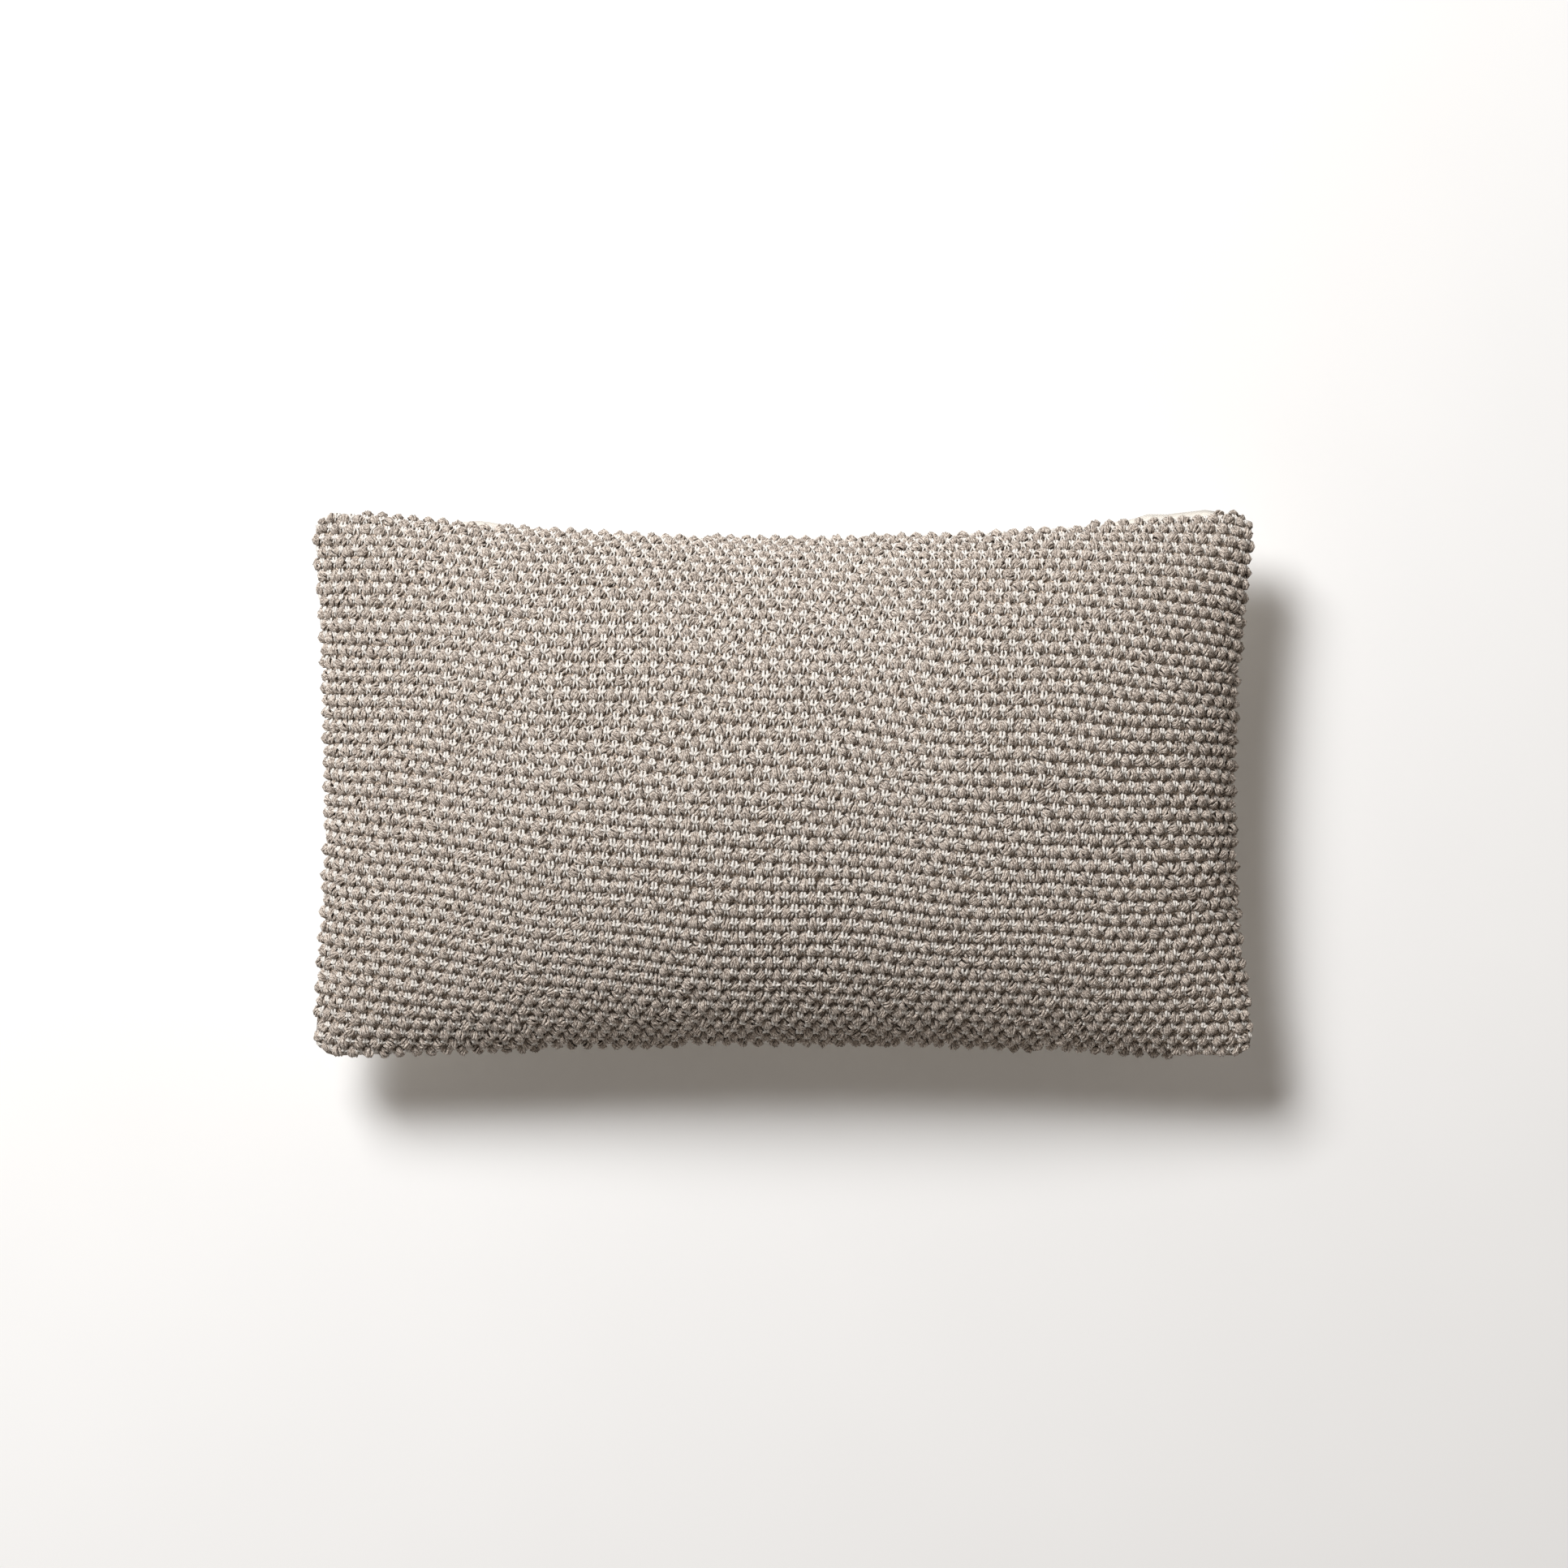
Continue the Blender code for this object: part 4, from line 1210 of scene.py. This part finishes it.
def slider_body(length):
    """The slider: two plates round the coils, their lips, the bridge and the loop for the pull."""
    half, wide = length / 2, 0.0032
    outer_plate = plate("outer_plate", *OUTER_PLATE, half, wide)
    inner_plate = plate("inner_plate", *INNER_PLATE, half, wide)
    bridge = new_box("bridge", (half - 0.0016, 0.0033, -0.0003), (half - 0.0003, 0.0069, 0.0003))
    rounded(bridge, 0.0001)
    lips = []
    for side in SIDES:
        low, high = sorted((side * 0.0025, side * 0.0030))
        for near, far in LIPS:
            lip = new_box("lip", (-half * 0.45, near, low), (half * 0.8, far, high))
            lips.append(rounded(lip, 0.0001))
    loop = new_box("loop", (-0.0026, 0.0020, -0.0006), (-0.0018, 0.0029, 0.0006))
    bpy.ops.object.mode_set(mode="EDIT")
    pick(loop, "FACE", lambda middle, normal: normal.y < -0.9)
    bpy.ops.mesh.spin(steps=10, angle=math.pi, center=(0, 0.0020, 0), axis=(0, 0, 1))
    bpy.ops.object.mode_set(mode="OBJECT")
    return joined("slider", outer_plate, inner_plate, bridge, *lips, loop)


def pull_tab():
    """The pull: a round-ended plate with an eye at its bar, a waist and a dished grip."""
    half, middle, wide = 0.00045, 0.0019, 0.0021  # half its thickness, its inset, half its width
    piece = new_box("pull_tab", (-0.016, middle - half, -wide), (0.00035, middle + half, wide))
    bpy.ops.object.mode_set(mode="EDIT")
    pick(piece, "EDGE", lambda place, run: abs(run.x) > 0.01)
    bpy.ops.mesh.subdivide(number_cuts=7)
    waist = ((-0.0075, -0.0055, 0.70), (-0.0055, -0.0035, 0.80), (-0.0095, -0.0075, 0.84))
    narrowed(piece, waist)
    pick(piece, "EDGE", lambda place, run: abs(run.y) > half and not -0.0155 < place.x < 0)
    bpy.ops.mesh.bevel(offset=0.0010, segments=4)
    pick(piece, "FACE", lambda place, normal: abs(normal.y) > 0.9 and -0.0135 < place.x < -0.0095)
    bpy.ops.mesh.inset(thickness=0.0007, depth=-0.00018)
    bpy.ops.object.mode_set(mode="OBJECT")
    low, high = (-0.0036, middle - 2 * half, -0.0011), (-0.00035, middle + 2 * half, 0.0011)
    eye = new_box("eye", low, high)
    bpy.ops.object.mode_set(mode="EDIT")
    pick(eye, "EDGE", lambda place, run: abs(run.y) > half)
    bpy.ops.mesh.bevel(offset=0.0003, segments=3)
    bpy.ops.object.mode_set(mode="OBJECT")
    cut = piece.modifiers.new("Eye", "BOOLEAN")
    cut.operation, cut.solver, cut.object = "DIFFERENCE", "EXACT", eye
    applied(piece)
    bpy.data.objects.remove(eye)
    return rounded(piece, 0.00015)


# ---------------------------------------------------------------- pieces in the bottom edge


def bottom_radius():
    """Radius of the arc that the bottom edge and the zip follow."""
    cover = bpy.context.scene.pillow_cover
    half_width = COVER_HIGH[1] + cover.corner_drop
    return cover.bottom_sag - half_width - ARC_CENTRE.y


def on_arc(along, inset, height):
    """Points at distances along the bottom edge, at an inset and a height over the seam plane."""
    radius = bottom_radius()
    angle = np.asarray(along) / radius
    reach = radius + np.asarray(inset)
    x, y = np.sin(angle) * reach, np.cos(angle) * reach + ARC_CENTRE.y
    return np.stack(np.broadcast_arrays(x, y, SEAM_Z + np.asarray(height)), -1)


def strip(name, profile, along):
    """An open strip of cloth that carries a profile of (inset, height) along the bottom edge."""
    profile = np.array(profile)
    points = on_arc(along[:, None], profile[None, :, 0], profile[None, :, 1])
    faces = quads_of(numbered(len(along) - 1, len(profile) - 1))
    walked = np.concatenate([[0], np.cumsum(np.linalg.norm(np.diff(profile, axis=0), axis=1))])
    flat = np.stack(np.meshgrid(walked, along), -1).reshape(-1, 2)
    return new_piece(name, points.reshape(-1, 3), faces, {"cut": flat[faces].reshape(-1, 2)})


def new_box(name, low, high):
    """A box between two corners, as the active object."""
    bpy.ops.object.select_all(action="DESELECT")
    low, high = Vector(low), Vector(high)
    bpy.ops.mesh.primitive_cube_add(size=1, location=(low + high) / 2, scale=high - low)
    obj = bpy.context.object
    obj.name = obj.data.name = name
    bpy.ops.object.transform_apply(location=True, rotation=True, scale=True)
    return obj


def pick(obj, kind, test):
    """Selects the faces, edges or points whose middle passes a test, in edit mode."""
    bpy.ops.mesh.select_mode(type=kind)
    bpy.ops.mesh.select_all(action="DESELECT")
    shape = bmesh.from_edit_mesh(obj.data)
    items = {"FACE": shape.faces, "EDGE": shape.edges, "VERT": shape.verts}[kind]
    for item in items:
        if kind == "FACE":
            chosen = test(item.calc_center_median(), item.normal)
        elif kind == "EDGE":
            start, end = (vert.co for vert in item.verts)
            chosen = test((start + end) / 2, end - start)
        else:
            chosen = test(item.co)
        item.select_set(bool(chosen))
    shape.select_flush_mode()
    bmesh.update_edit_mesh(obj.data)


def rounded(obj, width):
    """Bevels all sharp edges and smooths the rest."""
    modifier = obj.modifiers.new("Rounded", "BEVEL")
    modifier.width = width
    modifier.segments = 2
    modifier.limit_method = "ANGLE"
    modifier.angle_limit = math.radians(35)
    applied(obj)
    bpy.ops.object.shade_smooth_by_angle(angle=math.radians(40))
    return obj


def joined(name, *objects):
    """Joins objects into the first, under a name."""
    bpy.ops.object.select_all(action="DESELECT")
    for obj in objects:
        obj.select_set(True)
    bpy.context.view_layer.objects.active = objects[0]
    bpy.ops.object.join()
    obj = bpy.context.object
    obj.name = obj.data.name = name
    return obj


def carried(obj, along):
    """Puts a piece, made with inset along Y and height along Z, on the bottom edge."""
    radius = bottom_radius()
    turn = Matrix.Rotation(-along / radius, 4, "Z")
    move = Matrix.Translation(ARC_CENTRE) @ turn @ Matrix.Translation((0, radius, 0))
    obj.data.transform(move)
    return obj


# ---------------------------------------------------------------- operators


class PILLOW_OT_knit_front(Operator):
    """Make the front panel's ground, its taupe bobbles and the cream yarn between them"""

    bl_idname = "pillow.knit_front"
    bl_label = "Knit the front"

    def execute(self, context):
        cover, knit = context.scene.pillow_cover, context.scene.pillow_knit
        front, _ = panels(cover)
        surface = Surface(front, 1, cover)
        rng = np.random.default_rng(11)
        ground = cloth_panel("knit_ground", 1, front, cover, cover.knit_thickness, cover.allowance)
        finished(ground, ground_finish(knit), replaces=["front_panel"])
        tones = (knit.taupe_dark, knit.taupe, knit.taupe_light)
        taupe = yarn_finish("taupe_marl", *tones, 5, 0.0060, 0.0006)
        tones = (shaded(knit.cream, 0.72), knit.cream, shaded(knit.cream, 1.1))
        cream = yarn_finish("cream_yarn", *tones, 2, 0.0036, 0.0004)
        places = lattice(cover, knit)
        bobbles = within(places, cover, -0.0018)
        between = within(places + lattice_step(knit) / 2 + (0, knit.cream_lift), cover, 0.0016)
        lines = bobble_strands(bobbles, knit, rng)
        pieces = lay_yarn("bobbles", lines, knit.strand, surface, taupe, rng, 4)
        lines = cream_strands(between, EAR, rng)
        pieces += lay_yarn("cream_ears", lines, knit.cream_strand, surface, cream, rng, 2)
        lines = cream_strands(between, LEG, rng)
        pieces += lay_yarn("cream_legs", lines, knit.cream_strand * 0.74, surface, cream, rng, 1)
        lines = [cream_strands(between, arm, rng, mirrored=False) for arm in (LONG_ARM, SHORT_ARM)]
        lines = np.concatenate(lines)
        pieces += lay_yarn("cream_arms", lines, knit.cream_strand * 0.90, surface, cream, rng, 1)
        return {"FINISHED"}


class PILLOW_OT_weave_back(Operator):
    """Make the woven back panel"""

    bl_idname = "pillow.weave_back"
    bl_label = "Weave the back"

    def execute(self, context):
        cover, trim = context.scene.pillow_cover, context.scene.pillow_trim
        _, back = panels(cover)
        back = swollen(back)
        piece = cloth_panel("woven_back", -1, back, cover, cover.woven_thickness, cover.allowance)
        material = woven_finish("woven_cotton", trim.woven, trim.weave, relief=0.0004)
        finished(piece, material, replaces=["back_panel"])
        return {"FINISHED"}


class PILLOW_OT_stuff_insert(Operator):
    """Make the ticking insert and the fibre inside it"""

    bl_idname = "pillow.stuff_insert"
    bl_label = "Stuff the insert"

    def execute(self, context):
        cover, trim = context.scene.pillow_cover, context.scene.pillow_trim
        material = woven_finish(
            "ticking", trim.ticking, 0.0005, relief=0.00012, roughness=0.8, sheen=0.1
        )
        outer = dict(zip(SIDES, panels(cover)))
        filling = []
        for side, label in FACES.items():
            case = nested(outer[side], side, cover, trim.insert_inset, trim.insert_room)
            piece = cloth_panel(
                f"insert_{label}_case", side, case, cover, trim.ticking_thickness,
                trim.insert_allowance, zipped=False,
            )
            finished(piece, material, replaces=[f"insert_{label}_ticking"])
            filling.append(nested(case, side, cover, trim.fill_inset, trim.fill_room, wall=0.002))
        piece = closed_pair("filling", *filling)
        finished(piece, fibre_finish(trim), replaces=["fibre_filling"])
        return {"FINISHED"}


class PILLOW_OT_sew_seams(Operator):
    """Make the overlocking, the care label and the thread of every seam"""

    bl_idname = "pillow.sew_seams"
    bl_label = "Sew the seams"

    def execute(self, context):
        cover, trim = context.scene.pillow_cover, context.scene.pillow_trim
        sewn = thread_finish("sewing_thread", trim.thread)
        for name in SEWN_NODES:
            node = bpy.data.objects[name]
            node.data.materials.clear()
            node.data.materials.append(sewn)
        twisted = thread_finish("overlock_thread", trim.thread, "yarn")
        points, faces, maps = tubes(overlock_path(cover, trim)[None], 0.00022)
        loops = new_piece("overlock_stitches", points.reshape(-1, 3), faces, maps)
        finished(loops, twisted, replaces=["overlocked_seam_edge"])
        label = folded_label(cover)
        finished(label, satin_finish(trim), replaces=["care_label"])
        return {"FINISHED"}


class PILLOW_OT_set_zip(Operator):
    """Make the zip's tapes, coils and stops"""

    bl_idname = "pillow.set_zip"
    bl_label = "Set the zip"

    def execute(self, context):
        trim = context.scene.pillow_trim
        tape = tape_finish(trim)
        nylon = hard_finish("zip_nylon", trim.nylon, 0.42, shaded(trim.nylon, 1.15))
        metal = hard_finish("stop_enamel", trim.enamel, 0.38, shaded(trim.enamel, 0.55))
        half = trim.chain_length / 2
        for side, label in FACES.items():
            piece = zip_tape(f"{label}_tape", side, half)
            finished(piece, tape, replaces=[f"{label}_zip_tape"])
            coil = zip_coil(f"{label}_coil", side, half, trim.coil_pitch)
            finished(coil, nylon, replaces=[f"{label}_zip_coil"])
            stop = zip_stop(f"{label}_top_stop", side * 0.00065, side * 0.0022)
            carried(stop, half + 0.0014)
            finished(stop, metal, replaces=[f"{label}_zip_top_stop"])
        stop = zip_stop("bottom_stop", -0.0022, 0.0022)
        carried(stop, -half - 0.0014)
        finished(stop, metal, replaces=["zip_bottom_stop"])
        return {"FINISHED"}


class PILLOW_OT_make_slider(Operator):
    """Make the zip's slider and pull"""

    bl_idname = "pillow.make_slider"
    bl_label = "Make the slider"

    def execute(self, context):
        trim = context.scene.pillow_trim
        metal = hard_finish("zip_enamel", trim.enamel, 0.34, shaded(trim.enamel, 0.5))
        along = trim.chain_length / 2 - trim.slider_length / 2
        slider = carried(slider_body(trim.slider_length), along)
        finished(slider, metal, "slider", ["zip_slider"])
        pull = carried(pull_tab(), along)
        finished(pull, metal, "pull", ["zip_pull"])
        return {"FINISHED"}


FLOOR_SIZE = 12.0
KEY_PLACE = (-1.25, 1.75, 2.5)  # up and to the left of the pillow
KEY_SIZE = 1.3


class PILLOW_OT_set_stage(Operator):
    """Make the floor, the key light and the camera"""

    bl_idname = "pillow.set_stage"
    bl_label = "Set the stage"

    def execute(self, context):
        stage = context.scene.pillow_stage
        bpy.ops.object.select_all(action="DESELECT")
        bpy.ops.mesh.primitive_plane_add(size=FLOOR_SIZE)
        floor = context.object
        floor.name = "floor"
        floor.data.materials.append(floor_finish(stage))
        light = bpy.data.lights.new("key", "AREA")
        light.energy, light.size = stage.key, KEY_SIZE
        lamp = bpy.data.objects.new("key", light)
        context.scene.collection.objects.link(lamp)
        lamp.location = KEY_PLACE
        aim = Vector((0, 0, SEAM_Z)) - lamp.location
        lamp.rotation_euler = aim.to_track_quat("-Z", "Y").to_euler()
        world = bpy.data.worlds.new("studio")
        world.use_nodes = True
        nodes, links = world.node_tree.nodes, world.node_tree.links
        background = nodes["Background"]
        sight = nodes.new("ShaderNodeLightPath").outputs["Is Camera Ray"]
        tint = nodes.new("ShaderNodeMix")
        tint.data_type = "RGBA"
        tint.inputs["A"].default_value = (*stage.fill_tint, 1)
        tint.inputs["B"].default_value = (1.0, 1.0, 1.0, 1)
        links.new(sight, tint.inputs["Factor"])
        links.new(tint.outputs["Result"], background.inputs["Color"])
        strength = nodes.new("ShaderNodeMapRange")
        strength.inputs["To Min"].default_value = stage.fill
        strength.inputs["To Max"].default_value = stage.backdrop
        links.new(sight, strength.inputs["Value"])
        links.new(strength.outputs[0], background.inputs["Strength"])
        context.scene.world = world
        context.scene.view_settings.view_transform = "Standard"
        camera = bpy.data.objects.new("camera", bpy.data.cameras.new("camera"))
        context.scene.collection.objects.link(camera)
        camera.location = (0, 0, SEAM_Z + stage.distance)
        camera.data.lens = camera.data.sensor_width * stage.distance / stage.frame_width
        context.scene.camera = camera
        return {"FINISHED"}


OPERATORS = (
    PILLOW_OT_knit_front,
    PILLOW_OT_weave_back,
    PILLOW_OT_stuff_insert,
    PILLOW_OT_sew_seams,
    PILLOW_OT_set_zip,
    PILLOW_OT_make_slider,
    PILLOW_OT_set_stage,
)
SETTINGS = {
    "pillow_cover": PILLOW_PG_cover,
    "pillow_knit": PILLOW_PG_knit,
    "pillow_trim": PILLOW_PG_trim,
    "pillow_stage": PILLOW_PG_stage,
}


class PILLOW_PT_sidebar(Panel):
    """The pillow's settings and steps"""

    bl_idname = "PILLOW_PT_sidebar"
    bl_label = "Pillow"
    bl_space_type = "VIEW_3D"
    bl_region_type = "UI"
    bl_category = "Pillow"

    def draw(self, context):
        for name, group in SETTINGS.items():
            column = self.layout.column(align=True)
            for setting in group.__annotations__:
                column.prop(getattr(context.scene, name), setting)
        for operator in OPERATORS:
            self.layout.operator(operator.bl_idname)


CLASSES = (*SETTINGS.values(), *OPERATORS, PILLOW_PT_sidebar)


def register():
    for item in CLASSES:
        bpy.utils.register_class(item)
    for name, group in SETTINGS.items():
        setattr(bpy.types.Scene, name, PointerProperty(type=group))


def unregister():
    for name in SETTINGS:
        delattr(bpy.types.Scene, name)
    for item in reversed(CLASSES):
        bpy.utils.unregister_class(item)


def main():
    register()
    for operator in OPERATORS:
        family, name = operator.bl_idname.split(".")
        getattr(getattr(bpy.ops, family), name)()


if __name__ == "__main__":
    main()
